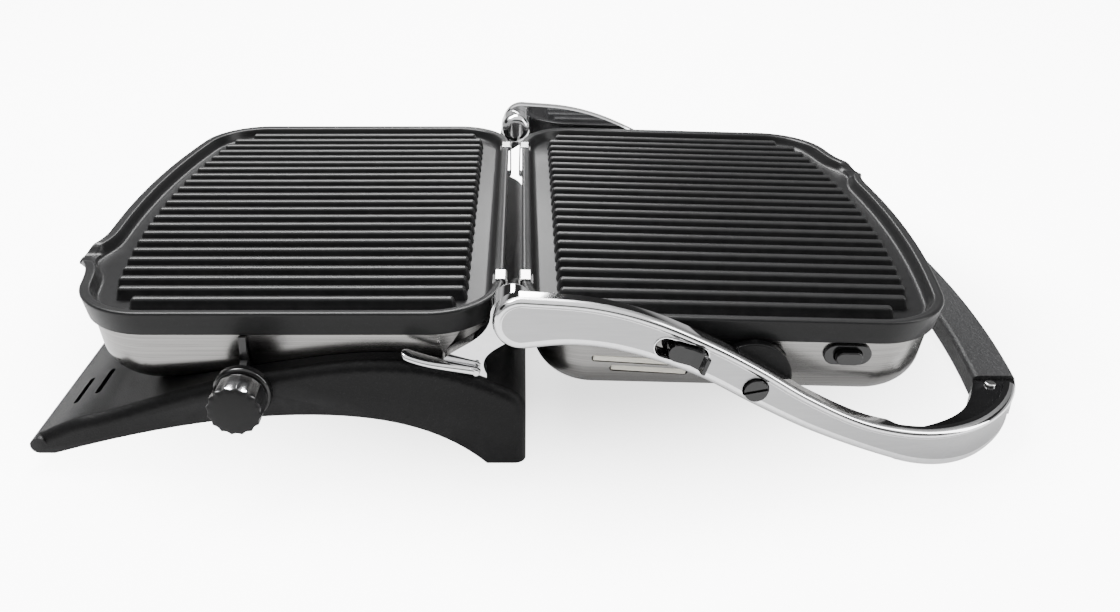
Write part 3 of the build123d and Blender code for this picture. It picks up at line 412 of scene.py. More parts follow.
finishes = {
    "nonStickCoat": speckledMaterial("nonStickCoat", coatFinish),
    "mouldedBlack": speckledMaterial("mouldedBlack", plasticFinish),
    "glossBlack": speckledMaterial("glossBlack", glossFinish),
    "gripBlack": speckledMaterial("gripBlack", gripFinish),
    "footRubber": speckledMaterial("footRubber", rubberFinish),
    "ceramicWhite": speckledMaterial("ceramicWhite", ceramicFinish),
    "glassSleeve": speckledMaterial("glassSleeve", sleeveFinish),
    "bushGrey": speckledMaterial("bushGrey", bushFinish),
    "brushedShell": brushedMaterial("brushedShell", shellFinish),
    "satinArm": brushedMaterial("satinArm", satinFinish),
    "polishedChrome": brushedMaterial("polishedChrome", chromeFinish),
    "knobSkirt": brushedMaterial("knobSkirt", skirtFinish),
    "satinBlack": speckledMaterial("satinBlack", faceFinish),
    "ventCream": speckledMaterial("ventCream", creamFinish),
    "zincPlate": brushedMaterial("zincPlate", zincFinish),
    "reflectorSheet": brushedMaterial("reflectorSheet", reflectorFinish),
    "heatTintedSheath": brushedMaterial("heatTintedSheath", sheathFinish),
}
print("materials built:", len(finishes))

nodeFinish = {
    "mouldedBlack": ["base_housing", "base_cover", "cord_gland", "pivot_block_near", "pivot_block_far",
                     "conduit_collar", "conduit_gland"],
    "footRubber": ["rear_foot_strip", "front_foot_pads", "power_conduit"],
    "zincPlate": ["pan_posts", "base_screws", "thermostat_shaft", "hinge_pins", "lever_pin", "grip_screws",
                  "lower_plate_clips", "upper_plate_clips", "lower_release_latch", "upper_release_latch",
                  "lower_release_spring", "upper_release_spring", "lower_element_saddles",
                  "upper_element_saddles"],
    "ceramicWhite": ["terminal_block", "lid_terminals", "thermostat", "thermal_cutout", "lower_element_caps",
                     "upper_element_caps"],
    "glassSleeve": ["base_wiring", "lid_wiring"],
    "polishedChrome": ["knob_bezel", "hinge_bracket_near", "hinge_bracket_far", "release_lever", "arm_near",
                       "arm_far"],
    "glossBlack": ["knob", "sensor_cover", "lower_release_bezel", "upper_release_bezel",
                   "lower_release_button", "upper_release_button", "grip_ends", "lock_slide", "pivot_screws"],
    "gripBlack": ["grip"],
    "bushGrey": ["hinge_bushes", "pivot_bushes"],
    "brushedShell": ["lower_pan", "lid_shell"],
    "nonStickCoat": ["lower_plate", "upper_plate"],
    "reflectorSheet": ["lower_reflector", "upper_reflector"],
    "heatTintedSheath": ["lower_element", "upper_element"],
}
finishOf = {}
for finishName, members in nodeFinish.items():
    for member in members:
        finishOf[member] = finishName
        mesh = nodes[member].data
        mesh.materials.clear()
        mesh.materials.append(finishes[finishName])
print("nodes painted:", len(finishOf))


# Floor

floorMesh = bpy.data.meshes.new("studioFloor")
floorBm = bmesh.new()
bmesh.ops.create_grid(floorBm, x_segments=1, y_segments=1, size=studio["floorHalf"])
floorBm.to_mesh(floorMesh)
floorBm.free()
studioFloor = bpy.data.objects.new("studioFloor", floorMesh)
bpy.context.scene.collection.objects.link(studioFloor)
floorMaterial, floorTree, floorShader = startMaterial("floorWhite", {
    "Base Color": (studio["floorTone"],) * 3 + (1,),
    "Roughness": 0.55,
    "Specular IOR Level": 0.2,
    "Emission Color": (1, 1, 1, 1),
    "Emission Strength": studio["floorGlow"],
})
# the glow is dimmer beneath and around the object: a painted soft shadow, added to the shadow the lamps cast
floorCoord = addNode(floorTree, "ShaderNodeTexCoord")
floorOff = addNode(floorTree, "ShaderNodeVectorMath", {"operation": "SUBTRACT"})
floorScale = addNode(floorTree, "ShaderNodeVectorMath", {"operation": "MULTIPLY"})
floorAway = addNode(floorTree, "ShaderNodeVectorMath", {"operation": "LENGTH"})
floorPaintedShadow = addNode(floorTree, "ShaderNodeMapRange", {"interpolation_type": "SMOOTHSTEP"})
floorOff.inputs[1].default_value = studio["floorCentre"]
floorScale.inputs[1].default_value = studio["floorSpread"]
floorPaintedShadow.inputs["From Min"].default_value = studio["floorPaintedShadow"][0]
floorPaintedShadow.inputs["From Max"].default_value = studio["floorPaintedShadow"][1]
floorPaintedShadow.inputs["To Min"].default_value = studio["floorGlowInPaintedShadow"]
floorPaintedShadow.inputs["To Max"].default_value = studio["floorGlow"]
floorTree.links.new(floorCoord.outputs["Object"], floorOff.inputs[0])
floorTree.links.new(floorOff.outputs["Vector"], floorScale.inputs[0])
floorTree.links.new(floorScale.outputs["Vector"], floorAway.inputs[0])
floorTree.links.new(floorAway.outputs["Value"], floorPaintedShadow.inputs["Value"])
# seen straight it is white, but only a share of the glow lights the object
floorPath = addNode(floorTree, "ShaderNodeLightPath")
floorShare = addNode(floorTree, "ShaderNodeMapRange", values={"To Min": studio["floorBounce"]})
floorGlow = addNode(floorTree, "ShaderNodeMath", {"operation": "MULTIPLY"})
floorTree.links.new(floorPath.outputs["Is Camera Ray"], floorShare.inputs["Value"])
floorTree.links.new(floorPaintedShadow.outputs["Result"], floorGlow.inputs[0])
floorTree.links.new(floorShare.outputs["Result"], floorGlow.inputs[1])
floorTree.links.new(floorGlow.outputs["Value"], floorShader.inputs["Emission Strength"])
floorMesh.materials.append(floorMaterial)
print("floor laid")


# Building blocks

def bodyOf(nodeName):
    return nodes[nodeName]["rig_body"]


def mergedCopy(nodeName, flatAngle=0.6):
    bm = bmesh.new()
    bm.from_mesh(nodes[nodeName].data)
    bmesh.ops.remove_doubles(bm, verts=bm.verts, dist=0.000004)
    if flatAngle:
        bmesh.ops.dissolve_limit(
            bm, angle_limit=radians(flatAngle), use_dissolve_boundaries=False, verts=bm.verts, edges=bm.edges,
        )
    return bm


def finishPiece(bm, name, materials, body, replaced=(), smoothAngle=32.0, rounding=0.0):
    # object, modifiers, body and replaced nodes; a piece with no body stays unattached
    for face in bm.faces:
        face.smooth = True
    for edge in bm.edges:
        edge.smooth = not (len(edge.link_faces) == 2 and edge.calc_face_angle(0) > radians(smoothAngle))
    mesh = bpy.data.meshes.new(name)
    bm.to_mesh(mesh)
    bm.free()
    for material in materials:
        mesh.materials.append(finishes[material])
    piece = bpy.data.objects.new(name, mesh)
    bpy.context.scene.collection.objects.link(piece)
    if rounding:
        rounder = piece.modifiers.new("softEdges", "BEVEL")
        rounder.width = rounding
        rounder.segments = 3
        rounder.limit_method = "ANGLE"
        rounder.angle_limit = radians(38)
        rounder.miter_outer = "MITER_ARC"
        rounder.harden_normals = False
    even = piece.modifiers.new("evenNormals", "WEIGHTED_NORMAL")
    even.keep_sharp = not rounding
    if body:
        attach(piece, body)
    if replaced:
        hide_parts(*replaced)
    return piece


def growRings(bm, rings, firstCap=False, lastCap=False, look=None):
    # a tube through rings of equal length; look gives a ring step's material
    made = bmesh.ops.create_circle(bm, cap_ends=firstCap, segments=len(rings[0]), radius=1.0)["verts"]
    current = list(made)
    edges = list({edge for vert in current for edge in vert.link_edges})
    firstEdges = edges
    for vert, place in zip(current, rings[0]):
        vert.co = place
    for number, ring in enumerate(rings[1:]):
        grown = bmesh.ops.extrude_edge_only(bm, edges=edges)["geom"]
        fresh = {item for item in grown if isinstance(item, bmesh.types.BMVert)}
        partner = {}
        for vert in fresh:
            for edge in vert.link_edges:
                other = edge.other_vert(vert)
                if other not in fresh:
                    partner[other] = vert
        current = [partner[vert] for vert in current]
        edges = list({edge for vert in current for edge in vert.link_edges if edge.other_vert(vert) in fresh})
        for vert, place in zip(current, ring):
            vert.co = place
        if look:
            for item in grown:
                if isinstance(item, bmesh.types.BMFace):
                    item.material_index = look(number)
    if lastCap:
        cap = bmesh.ops.contextual_create(bm, geom=edges)["faces"]
        if look:
            for face in cap:
                face.material_index = look(len(rings) - 1)
    return firstEdges, edges


def smoothLine(points, step):
    # points along a curve that runs through all the given ones
    out = []
    last = len(points) - 1
    for number in range(last):
        p0 = Vector(points[max(number - 1, 0)])
        p1, p2 = Vector(points[number]), Vector(points[number + 1])
        p3 = Vector(points[min(number + 2, last)])
        span = (p2 - p1).length
        before = (p2 - p0) * (span / max((p2 - p0).length, 1e-9))
        after = (p3 - p1) * (span / max((p3 - p1).length, 1e-9))
        count = max(1, round(span / step))
        out.extend(interpolate_bezier(p1, p1 + before / 3, p2 - after / 3, p2, count + 1)[:-1])
    out.append(Vector(points[-1]))
    return out


def insetLoop(points, inset):
    # a closed loop in a plane, drawn in by a distance; it runs anticlockwise
    out = []
    count = len(points)
    for number in range(count):
        before = (points[number] - points[number - 1]).normalized()
        after = (points[(number + 1) % count] - points[number]).normalized()
        along = (before + after).normalized()
        inward = Vector((-along.y, along.x))
        out.append(points[number] + inward * (inset / max(along.dot(after), 0.5)))
    return out


hingeAt = Matrix.Translation((0, 0, 0.087))
openLid = hingeAt @ Matrix.Rotation(radians(1.6), 4, "Y") @ hingeAt.inverted()
halfTurn = Matrix.Rotation(pi, 4, "Z")


# Cooking plates: cast rim with its bead, flared pouring spout, flat floor and rounded ribs

plateLook = {
    "hinge": 0.0045, "front": -0.2345, "half": 0.1485, "bow": 0.600,
    "hingeCorner": 0.038, "frontCorner": 0.042,
    # inset and height, from the hollow underneath, up the wall, over the bead and down to the floor
    "section": [
        (0.0105, 0.0754), (0.0100, 0.0740), (0.0098, 0.0725), (0.0034, 0.0725), (0.0026, 0.0727),
        (0.0022, 0.0733), (0.0004, 0.0836), (0.00015, 0.0845), (0.0002, 0.0851), (0.0005, 0.0856),
        (0.0010, 0.0859), (0.0017, 0.0860), (0.0025, 0.0858), (0.0035, 0.0856), (0.0044, 0.0855),
        (0.0050, 0.0853), (0.0055, 0.0848), (0.0062, 0.0832), (0.0070, 0.0812), (0.0078, 0.0799),
        (0.0088, 0.0792), (0.0102, 0.0790),
    ],
    "bulgeFrom": 4, "beadFrom": 6,  # section points where the spout starts and where the bead starts
    "wallFoot": 0.0725, "wallHeight": 0.0135, "floor": 0.0790,
    "spoutAt": -0.076, "spoutReach": 0.0078, "spoutSpread": 0.0150, "spoutHalf": 0.06, "frontZone": -0.18,
    "mouthFrom": 0.0085 * 0.55, "mouthTo": 0.0085 * 1.35, "lip": 0.0812, "lipFold": 0.0014,
    "clipAt": 0.105, "clipHalf": 0.0065, "clipDrop": 0.0832, "clipStep": 0.0008,
}
ribLook = {
    "pitch": 0.0118, "count": 23, "foot": 0.0034, "crown": 0.0021, "top": 0.0856,
    "front": -0.217, "hinge": -0.023, "half": 0.1333, "frontCorner": 0.0245, "hingeCorner": 0.0205,
    "frontSlack": 0.0015, "hingeSlack": 0.0035, "slope": 0.0016, "round": 0.0017, "sink": 0.0004,
}


def plateOutline():
    # plan points with their outward normals, anticlockwise from the near end of the hinge edge
    look = plateLook
    bowX = look["front"] + look["bow"]
    cornerY = look["half"] - look["frontCorner"]
    beta = asin(cornerY / (look["bow"] - look["frontCorner"]))
    cornerX = bowX - (look["bow"] - look["frontCorner"]) * cos(beta)
    hingeX, hingeY = -look["hinge"] - look["hingeCorner"], look["half"] - look["hingeCorner"]
    points = []

    def arc(centreX, centreY, radius, start, sweep, count):
        for number in range(count):
            angle = start + sweep * number / count
            points.append((
                Vector((centreX + radius * cos(angle), centreY + radius * sin(angle))),
                Vector((cos(angle), sin(angle))),
            ))

    def straight(x0, y0, x1, y1, normal, count):
        for number in range(count):
            share = number / count
            points.append((Vector((x0 + (x1 - x0) * share, y0 + (y1 - y0) * share)), Vector(normal)))

    edge, step = look["clipAt"] - look["clipHalf"], look["clipStep"]
    stops = [(-hingeY, -edge, 4), (-edge, -edge + step, 1), (-edge + step, edge - step, 24),
             (edge - step, edge, 1), (edge, hingeY, 4)]
    for y0, y1, count in stops:
        straight(-look["hinge"], y0, -look["hinge"], y1, (1, 0), count)
    arc(hingeX, hingeY, look["hingeCorner"], 0, pi / 2, 32)
    straight(hingeX, look["half"], cornerX, look["half"], (0, 1), 16)
    arc(cornerX, cornerY, look["frontCorner"], pi / 2, pi / 2 - beta, 32)
    arc(bowX, 0, look["bow"], pi - beta, 2 * beta, 150)
    arc(cornerX, -cornerY, look["frontCorner"], pi + beta, pi / 2 - beta, 32)
    straight(cornerX, -look["half"], hingeX, -look["half"], (0, -1), 16)
    arc(hingeX, -hingeY, look["hingeCorner"], 1.5 * pi, pi / 2, 32)
    return points


def easeStep(low, high, value):
    share = min(max((value - low) / (high - low), 0), 1)
    return share * share * (3 - 2 * share)


def plateRing(number, inset, height):
    look = plateLook
    ring = []
    for point, normal in plateOutline():
        away = abs(point.y - look["spoutAt"])
        onFront = point.x < look["frontZone"] and away < look["spoutHalf"]
        bulge = look["spoutReach"] * exp(-((away / look["spoutSpread"]) ** 2)) if onFront else 0
        z = height
        if number < look["bulgeFrom"]:
            bulge = 0
        elif number < look["beadFrom"]:
            bulge *= max(0, (height - look["wallFoot"]) / look["wallHeight"]) * 0.5 + 0.15
        elif onFront and height > look["lip"]:
            # the pouring mouth: the bead folds outward and drops to a thin lip
            depth = 1 - easeStep(look["mouthFrom"], look["mouthTo"], away)
            z = height + (look["lip"] - height) * depth
            bulge += look["lipFold"] * depth
        place = point + normal * (bulge - inset)
        atClip = abs(abs(point.y) - look["clipAt"]) <= look["clipHalf"] + 1e-6 and point.x > -0.01
        if atClip and z > look["clipDrop"]:
            z = look["clipDrop"]
        ring.append((place.x, place.y, z))
    return ring


def cornerCut(y, corner, slack):
    # how much shorter a rib is, where it runs into a rounded corner
    over = abs(y) - slack - (ribLook["half"] - corner)
    return corner - sqrt(max(corner**2 - over * over, 0)) if over > 0 else 0


def ribEnds(y):
    look = ribLook
    bowShift = plateLook["bow"] - sqrt(plateLook["bow"] ** 2 - y * y)
    front = look["front"] + bowShift + cornerCut(y, look["frontCorner"], look["frontSlack"])
    return front, look["hinge"] - cornerCut(y, look["hingeCorner"], look["hingeSlack"])


def buildPlate(name, nodeName, place):
    bm = bmesh.new()
    rings = [plateRing(number, inset, height) for number, (inset, height) in enumerate(plateLook["section"])]
    growRings(bm, rings, firstCap=True, lastCap=True)
    look = ribLook
    low = plateLook["floor"] - look["sink"]
    for number in range(look["count"]):
        y = (number - (look["count"] - 1) / 2) * look["pitch"]
        front, hinge = ribEnds(y)
        scale = Matrix.Diagonal((hinge - front, 2 * look["foot"], look["top"] - low, 1))
        middle = Matrix.Translation(((hinge + front) / 2, y, (look["top"] + low) / 2))
        bar = bmesh.ops.create_cube(bm, size=1.0, matrix=middle @ scale)["verts"]
        crown = [vert for vert in bar if vert.co.z > plateLook["floor"]]
        for vert in crown:
            vert.co.y = y + look["crown"] * (1 if vert.co.y > y else -1)
            vert.co.x += look["slope"] * (1 if vert.co.x < (hinge + front) / 2 else -1)
        edges = {edge for vert in crown for edge in vert.link_edges}
        bmesh.ops.bevel(
            bm, geom=list(edges), offset=look["round"], offset_type="OFFSET", segments=4, profile=0.5,
            affect="EDGES", clamp_overlap=True, material=-1,
        )
    bmesh.ops.transform(bm, matrix=place, verts=bm.verts)
    bmesh.ops.recalc_face_normals(bm, faces=bm.faces)
    finishPiece(bm, name, ["nonStickCoat"], bodyOf(nodeName), [nodeName], 50.0)


buildPlate("cookPlateLower", "lower_plate", Matrix.Identity(4))
buildPlate("cookPlateUpper", "upper_plate", openLid @ halfTurn)
print("cooking plates built")


# Arms: satin face inside a polished border, rounded head, band that turns in to the grip

armLook = {
    "inner": 0.153, "thickness": 0.010, "headX": 0.0045, "headZ": 0.087, "headRadius": 0.014,
    # upper and lower edges of the outline, x and z, opened flat
    "upper": [
        (0.0045, 0.1010), (0.038, 0.0980), (0.065, 0.0908), (0.097, 0.0762), (0.121, 0.0628),
        (0.148, 0.0458), (0.178, 0.0314), (0.205, 0.0258), (0.2376, 0.0235), (0.266, 0.0233),
        (0.2950, 0.0231),
    ],
    "lower": [
        (0.2950, 0.0029), (0.266, 0.0018), (0.2376, 0.0008), (0.212, 0.0038), (0.187, 0.0106),
        (0.150, 0.0253), (0.121, 0.0403), (0.088, 0.0588), (0.053, 0.0715), (0.028, 0.0750),
        (0.0045, 0.0730),
    ],
    "straight": 0.195, "corner": 0.0882, "band": 0.65,
    # inset and depth behind the outer face, where the edge faces up and where it faces down
    "upSection": [
        (0.0008, 0.0100), (0, 0.0092), (0, 0.0034), (0.0004, 0.0016), (0.0014, 0.0004), (0.0025, 0.0000),
        (0.0034, 0.0003), (0.0040, 0.0009), (0.0046, 0.0011),
    ],
    "downSection": [
        (0.0008, 0.0100), (0, 0.0092), (0, 0.0040), (0.0003, 0.0027), (0.0009, 0.0018), (0.0018, 0.0013),
        (0.0028, 0.0011), (0.0036, 0.0011), (0.0044, 0.0011),
    ],
    "faceDepth": 0.0011, "underDepth": 0.0030,
    "bendCuts": 40, "bendStep": 0.0025, "thinFrom": 0.004, "thinRun": 0.006,
    "slotAt": (0.0813, 0.0723), "slotSlope": -17.0, "slotLength": 0.026, "slotWidth": 0.0096,
    "pivotAt": (0.119, 0.051), "pivotHole": 0.0061, "bushHole": 0.0072,
    "pinHole": 0.0066, "pinDepth": 0.0028,
}


def armOutline():
    look = armLook
    head = []
    for number in range(1, 24):
        angle = 1.5 * pi - pi * number / 24
        x = look["headX"] + look["headRadius"] * cos(angle)
        z = look["headZ"] + look["headRadius"] * sin(angle)
        head.append(Vector((x, z)))
    upper = [Vector(p[:2]) for p in smoothLine([(*p, 0) for p in look["upper"]], 0.004)]
    lower = [Vector(p[:2]) for p in smoothLine([(*p, 0) for p in look["lower"]], 0.004)]
    return (upper + lower + head)[::-1]


def slotLoop(centre, length, width, slope, grow, count=24):
    # anticlockwise round a slot; a circle when length and width are the same
    out = []
    half = (length - width) / 2
    turn = Matrix.Rotation(radians(slope), 2)
    for side in (1, -1):
        for number in range(count):
            angle = -pi / 2 + pi * number / (count - 1) + (0 if side > 0 else pi)
            radius = width / 2 + grow
            spot = Vector((side * half + radius * cos(angle), radius * sin(angle)))
            out.append(Vector(centre) + turn @ spot)
    return out


def roundLoop(centre, radius, count=40):
    turns = [2 * pi * k / count for k in range(count)]
    return [Vector((centre[0] + radius * cos(turn), centre[1] + radius * sin(turn))) for turn in turns]


def buildArm(name, nodeName, side, slotted):
    # built flat, face outward, then bent; side is -1 for the near arm
    look = armLook
    outline = armOutline()
    count = len(outline)
    upness = []
    for number in range(count):
        along = (outline[(number + 1) % count] - outline[number - 1]).normalized()
        upness.append(easeStep(-0.55, 0.1, -along.x))
    bm = bmesh.new()

    def level(points, depth):
        depths = depth if isinstance(depth, list) else [depth] * len(points)
        return [(p.x, -d, p.y) for p, d in zip(points, depths)]

    rings = []
    for (upInset, upDepth), (downInset, downDepth) in zip(look["upSection"], look["downSection"]):
        high, low = insetLoop(outline, upInset), insetLoop(outline, downInset)
        points = [a * w + b * (1 - w) for a, b, w in zip(high, low, upness)]
        rings.append(level(points, [upDepth * w + downDepth * (1 - w) for w in upness]))
    backEdges, faceEdges = growRings(bm, rings, look=lambda step: 0)
    faceHoles, backHoles = list(faceEdges), list(backEdges)
    # each hole from the face to the back: its loops, and how deep each one lies
    hole, bush, chamfer, face = look["pivotHole"], look["bushHole"], 0.0006, look["faceDepth"]
    holes = [(
        [roundLoop(look["pivotAt"], radius) for radius in (hole + chamfer, hole, hole, bush, bush)],
        [face, face + chamfer, 0.0049, 0.0050, look["thickness"]],
    )]
    if slotted:
        shape = (look["slotAt"], look["slotLength"], look["slotWidth"], look["slotSlope"])
        holes.append((
            [slotLoop(*shape, grow) for grow in (0.0014, 0.0011, 0.0006, 0.0001, 0.0, 0.0)],
            [face, 0.0006, 0.0006, 0.0011, 0.0018, look["thickness"]],
        ))
    for loops, depths in holes:
        rings = [level(loop, depth) for loop, depth in zip(loops, depths)]
        first, last = growRings(bm, rings, look=lambda step: 0)
        faceHoles += first
        backHoles += last
    pin = roundLoop((0, look["headZ"]), look["pinHole"])
    first, last = growRings(bm, [level(pin, look["thickness"]), level(pin, look["pinDepth"])], lastCap=True)
    backHoles += first
    front = bmesh.ops.triangle_fill(
        bm, use_beauty=True, use_dissolve=False, edges=faceHoles, normal=(0, 1, 0),
    )["geom"]
    for item in front:
        if isinstance(item, bmesh.types.BMFace):
            item.material_index = 1
    bmesh.ops.triangle_fill(bm, use_beauty=True, use_dissolve=False, edges=backHoles, normal=(0, -1, 0))
    # cuts across the band, so that it can bend round to the grip
    for number in range(look["bendCuts"]):
        bmesh.ops.bisect_plane(
            bm, geom=bm.verts[:] + bm.edges[:] + bm.faces[:], dist=0.00001,
            plane_co=(look["straight"] + number * look["bendStep"], 0, 0), plane_no=(1, 0, 0),
        )
    centreY = look["corner"] - look["inner"] - look["thickness"]
    for face in bm.faces:
        depth = -face.calc_center_median().y
        if look["faceDepth"] - 0.0001 < depth < look["underDepth"] and face.normal.z < -0.2:
            face.material_index = 1
    thinAt = look["straight"] - look["thinRun"]
    for vert in bm.verts:
        depth = -vert.co.y
        if vert.co.x > thinAt and depth > look["thinFrom"]:
            depth *= 1 + (look["band"] - 1) * easeStep(thinAt, look["straight"], vert.co.x)
        if vert.co.x > look["straight"]:
            angle = (vert.co.x - look["straight"]) / look["corner"]
            vert.co.x = look["straight"] + (look["corner"] - depth) * sin(angle)
            vert.co.y = centreY - (look["corner"] - depth) * cos(angle)
        else:
            vert.co.y = -(look["inner"] + look["thickness"]) + depth
        vert.co.y *= -side
    bmesh.ops.recalc_face_normals(bm, faces=bm.faces)
    finishPiece(bm, name, ["polishedChrome", "satinArm"], "arms", [nodeName], 42.0)


buildArm("armNear", "arm_near", -1, True)
buildArm("armFar", "arm_far", 1, False)
print("arms built")


# Temperature knob: polished fluted skirt and a dark domed face

knobLook = {
    "x": -0.134, "z": 0.046, "back": 0.1595, "flutes": 16, "flute": 0.0009,
    # radius, distance from the back, and how deep the flutes are there
    "section": [
        (0.0031, 0.0002, 0), (0.0120, 0.0002, 0), (0.0129, 0.0006, 0.1), (0.0134, 0.0016, 0.2),
        (0.0135, 0.0040, 0.25), (0.0136, 0.0095, 0.3), (0.0136, 0.0128, 0.9), (0.0135, 0.0140, 1),
        (0.0132, 0.0146, 1), (0.0124, 0.0150, 0.7), (0.0105, 0.0153, 0.2),
        (0.0080, 0.0156, 0), (0.0045, 0.0158, 0), (0.0015, 0.0159, 0),
    ],
    "darkFrom": 7,  # section step where the dark face starts
}


def buildKnob():
    look = knobLook
    bm = bmesh.new()
    rings = []
    for radius, out, share in look["section"]:
        ring = []
        for number in range(look["flutes"] * 10):
            angle = 2 * pi * number / (look["flutes"] * 10)
            r = radius - look["flute"] * share * abs(cos(look["flutes"] * angle / 2))
            ring.append((look["x"] + r * cos(angle), -look["back"] - out, look["z"] + r * sin(angle)))
        rings.append(ring)
    growRings(bm, rings, firstCap=True, lastCap=True, look=lambda step: int(step >= look["darkFrom"]))
    bmesh.ops.recalc_face_normals(bm, faces=bm.faces)
    finishPiece(bm, "controlKnob", ["knobSkirt", "satinBlack"], "knob", ["knob"], 38.0)


def buildBezel():
    # a glossy ring with a duller face
    bm = mergedCopy("knob_bezel")
    bm.normal_update()
    for face in bm.faces:
        face.material_index = 1 if face.normal.y < -0.9 else 0
    finishPiece(bm, "knobBezel", ["glossBlack", "satinBlack"], "base", ["knob_bezel"], 30.0)


buildKnob()
buildBezel()
print("knob built")


# Ribbed conduit from the collar on the hinge line to the lid

conduitLook = {
    "route": [
        (0, -0.13095, 0.087), (0, -0.1285, 0.0869), (0, -0.1240, 0.0845), (0, -0.1213, 0.0800),
        (0, -0.1210, 0.0740), (0, -0.1210, 0.0660), (0, -0.1205, 0.0600), (0, -0.1175, 0.0556),
        (0, -0.1130, 0.0541), (0, -0.1060, 0.0540), (0, -0.0900, 0.0540), (0, -0.0740, 0.0540),
        (0, -0.0600, 0.0540), (0.0004, -0.0545, 0.0540), (0.0035, -0.0508, 0.0540), (0.0096, -0.0500, 0.0540),
    ],
    "root": 0.0030, "crest": 0.0038, "pitch": 0.0024, "step": 0.0006, "sides": 20,
}


def buildConduit():
    look = conduitLook
    line = smoothLine(look["route"], look["step"])
    turns = [2 * pi * k / look["sides"] for k in range(look["sides"])]
    last = len(line) - 1
    bm = bmesh.new()
    rings = []
    side = Vector((1, 0, 0))
    length = 0.0
    for number, here in enumerate(line):
        if number:
            length += (here - line[number - 1]).length
        along = (line[min(number + 1, last)] - line[max(number - 1, 0)]).normalized()
        side = (side - along * side.dot(along)).normalized()
        up = along.cross(side)
        phase = sin(2 * pi * length / look["pitch"])
        radius = (look["root"] + look["crest"]) / 2 + (look["crest"] - look["root"]) / 2 * phase
        rings.append([here + (side * cos(turn) + up * sin(turn)) * radius for turn in turns])
    growRings(bm, rings, firstCap=True, lastCap=True)
    bmesh.ops.recalc_face_normals(bm, faces=bm.faces)
    piece = finishPiece(bm, "conduitSleeve", ["footRubber"], None, ["power_conduit"], 60.0)
    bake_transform(piece)


buildConduit()
print("conduit built")


# Vent louvres behind the slots in the lid shell

ventLook = {
    "vents": [(0.0597, 0.0558), (0.069, 0.0495)],
    "slope": 4.0, "size": (0.0385, 0.0016, 0.0034), "tilt": 0.0279,
    "wall": 0.1435, "top": 0.0722, "draft": 0.105, "corner": 0.022, "cornerFrom": 0.057,
    "proud": 0.0002, "round": 0.0007,
}


def buildVents():
    look = ventLook
    bm = bmesh.new()
    for x, z in look["vents"]:
        # where the leaning wall of the shell is, at this height
        level = z + x * look["tilt"]
        under = max(0, look["cornerFrom"] - level)
        wall = look["wall"] - (look["top"] - level) * look["draft"]
        wall -= look["corner"] - sqrt(look["corner"] ** 2 - under**2)
        y = look["size"][1] / 2 + look["proud"] - wall
        place = Matrix.Translation((x, y, z)) @ Matrix.Rotation(radians(look["slope"]), 4, "Y")
        bar = bmesh.ops.create_cube(bm, size=1.0, matrix=place @ Matrix.Diagonal((*look["size"], 1)))["verts"]
        edges = {edge for vert in bar for edge in vert.link_edges}
        bmesh.ops.bevel(
            bm, geom=list(edges), offset=look["round"], offset_type="OFFSET", segments=3, profile=0.5,
            affect="EDGES", clamp_overlap=True, material=-1,
        )
    finishPiece(bm, "ventLouvres", ["ventCream"], "lid", (), 40.0)


buildVents()
print("vents built")


# Catch lever beside the near gooseneck: a slim polished tongue

leverLook = {
    "line": [
        (-0.0160, -0.1517, 0.0550), (-0.0240, -0.1520, 0.0569), (-0.0330, -0.1524, 0.0592),
        (-0.0420, -0.1528, 0.0618), (-0.0490, -0.1530, 0.0643), (-0.0545, -0.1531, 0.0668),
    ],
    # at the root and at the tip
    "halfWidth": (0.0024, 0.0046), "halfHeight": (0.0020, 0.0017),
    "squareness": 2.6, "step": 0.0008, "sides": 32,
}


def buildLever():
    look = leverLook
    line = smoothLine(look["line"], look["step"])
    last = len(line) - 1
    rootWidth, tipWidth = look["halfWidth"]
    rootHeight, tipHeight = look["halfHeight"]
    power = look["squareness"]
    bm = bmesh.new()
    rings = []
    for number, here in enumerate(line):
        share = number / last
        along = (line[min(number + 1, last)] - line[max(number - 1, 0)]).normalized()
        side = Vector((0, -1, 0))
        up = side.cross(along).normalized()
        if up.z < 0:
            up = -up
        blunt = min(1, (share + 0.004) / 0.07, (1.004 - share) / 0.11)
        full = sqrt(max(1 - (1 - blunt) ** 2, 0.0004))
        width = (rootWidth + (tipWidth - rootWidth) * easeStep(0, 0.8, share)) * full
        height = (rootHeight + (tipHeight - rootHeight) * share) * (0.4 + 0.6 * full)
        ring = []
        for k in range(look["sides"]):
            angle = 2 * pi * k / look["sides"]
            c, d = cos(angle), sin(angle)
            reach = (abs(c) ** power + abs(d) ** power) ** (-1 / power)
            ring.append(here + side * (c * reach * width) + up * (d * reach * height))
        rings.append(ring)
    growRings(bm, rings, firstCap=True, lastCap=True)
    bmesh.ops.recalc_face_normals(bm, faces=bm.faces)
    finishPiece(bm, "catchLever", ["polishedChrome"], "release_lever", ["release_lever"], 50.0)


buildLever()
print("lever built")


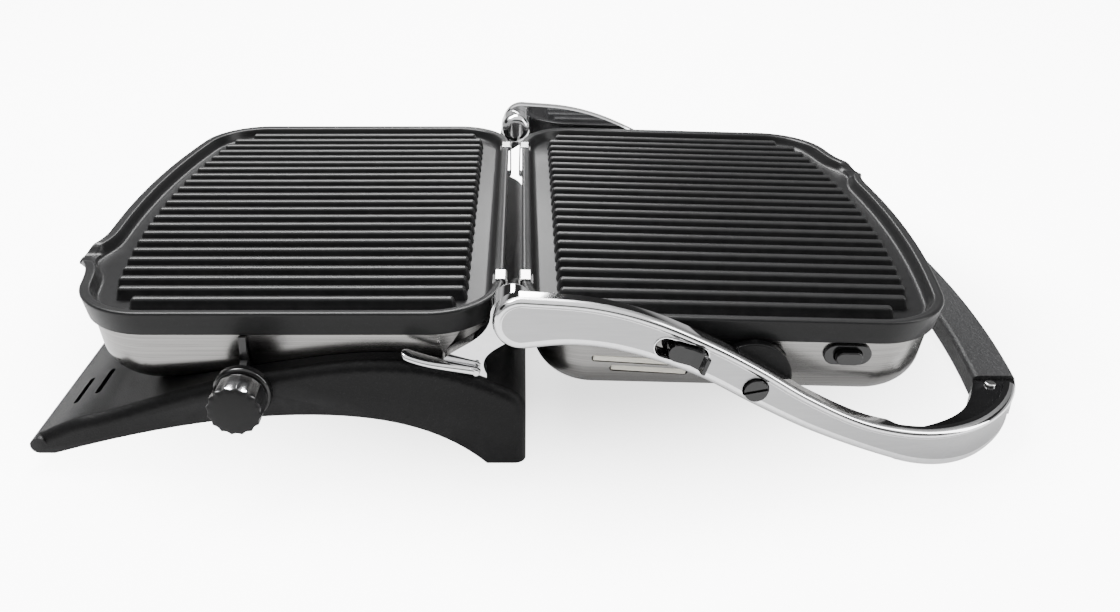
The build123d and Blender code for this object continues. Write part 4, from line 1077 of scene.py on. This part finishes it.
# Smooth copies of the CAD nodes whose curved faces show: node, smooth angle, width of the softened edges

smoothPieces = {
    "baseSaddle": ("base_housing", 32.0, 0),
    "lowerPan": ("lower_pan", 30.0, 0),
    "lidShell": ("lid_shell", 30.0, 0),
    "gooseneckNear": ("hinge_bracket_near", 40.0, 0.0012),
    "gooseneckFar": ("hinge_bracket_far", 40.0, 0.0012),
    "handleGrip": ("grip", 30.0, 0.0005),
    "gripEnds": ("grip_ends", 30.0, 0.0008),
    "lockSlide": ("lock_slide", 30.0, 0.0004),
    "pivotBlockNear": ("pivot_block_near", 30.0, 0.0006),
    "pivotBlockFar": ("pivot_block_far", 30.0, 0.0006),
    "pivotScrews": ("pivot_screws", 30.0, 0.0002),
    "releaseBezelUpper": ("upper_release_bezel", 30.0, 0.0005),
    "releaseButtonUpper": ("upper_release_button", 30.0, 0.0004),
    "clipsLower": ("lower_plate_clips", 30.0, 0.0002),
    "clipsUpper": ("upper_plate_clips", 30.0, 0.0002),
}
for pieceName, (nodeName, angle, rounding) in smoothPieces.items():
    finishPiece(
        mergedCopy(nodeName), pieceName, [finishOf[nodeName]], bodyOf(nodeName), [nodeName], angle,
        rounding=rounding,
    )
print("smooth pieces:", len(smoothPieces))


# Springs behind the release buttons: smooth copies left in place; their end points are found but not used

pressSprings = {
    "pressSpringLower": ("lower_release_spring", "lower_release_button"),
    "pressSpringUpper": ("upper_release_spring", "upper_release_button"),
}
for pieceName, (nodeName, buttonName) in pressSprings.items():
    spring = mergedCopy(nodeName, 0)
    corners = [vert.co for vert in spring.verts]
    low = Vector([min(corner[k] for corner in corners) for k in range(3)])
    high = Vector([max(corner[k] for corner in corners) for k in range(3)])
    middle = (low + high) / 2
    ends = [(middle.x, low.y, middle.z), (middle.x, high.y, middle.z)]
    if nodes[buttonName].data.vertices[0].co.y < middle.y:
        ends.reverse()
    piece = finishPiece(spring, pieceName, ["zincPlate"], None, [nodeName], 40.0)
    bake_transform(piece)
print("press springs:", len(pressSprings))
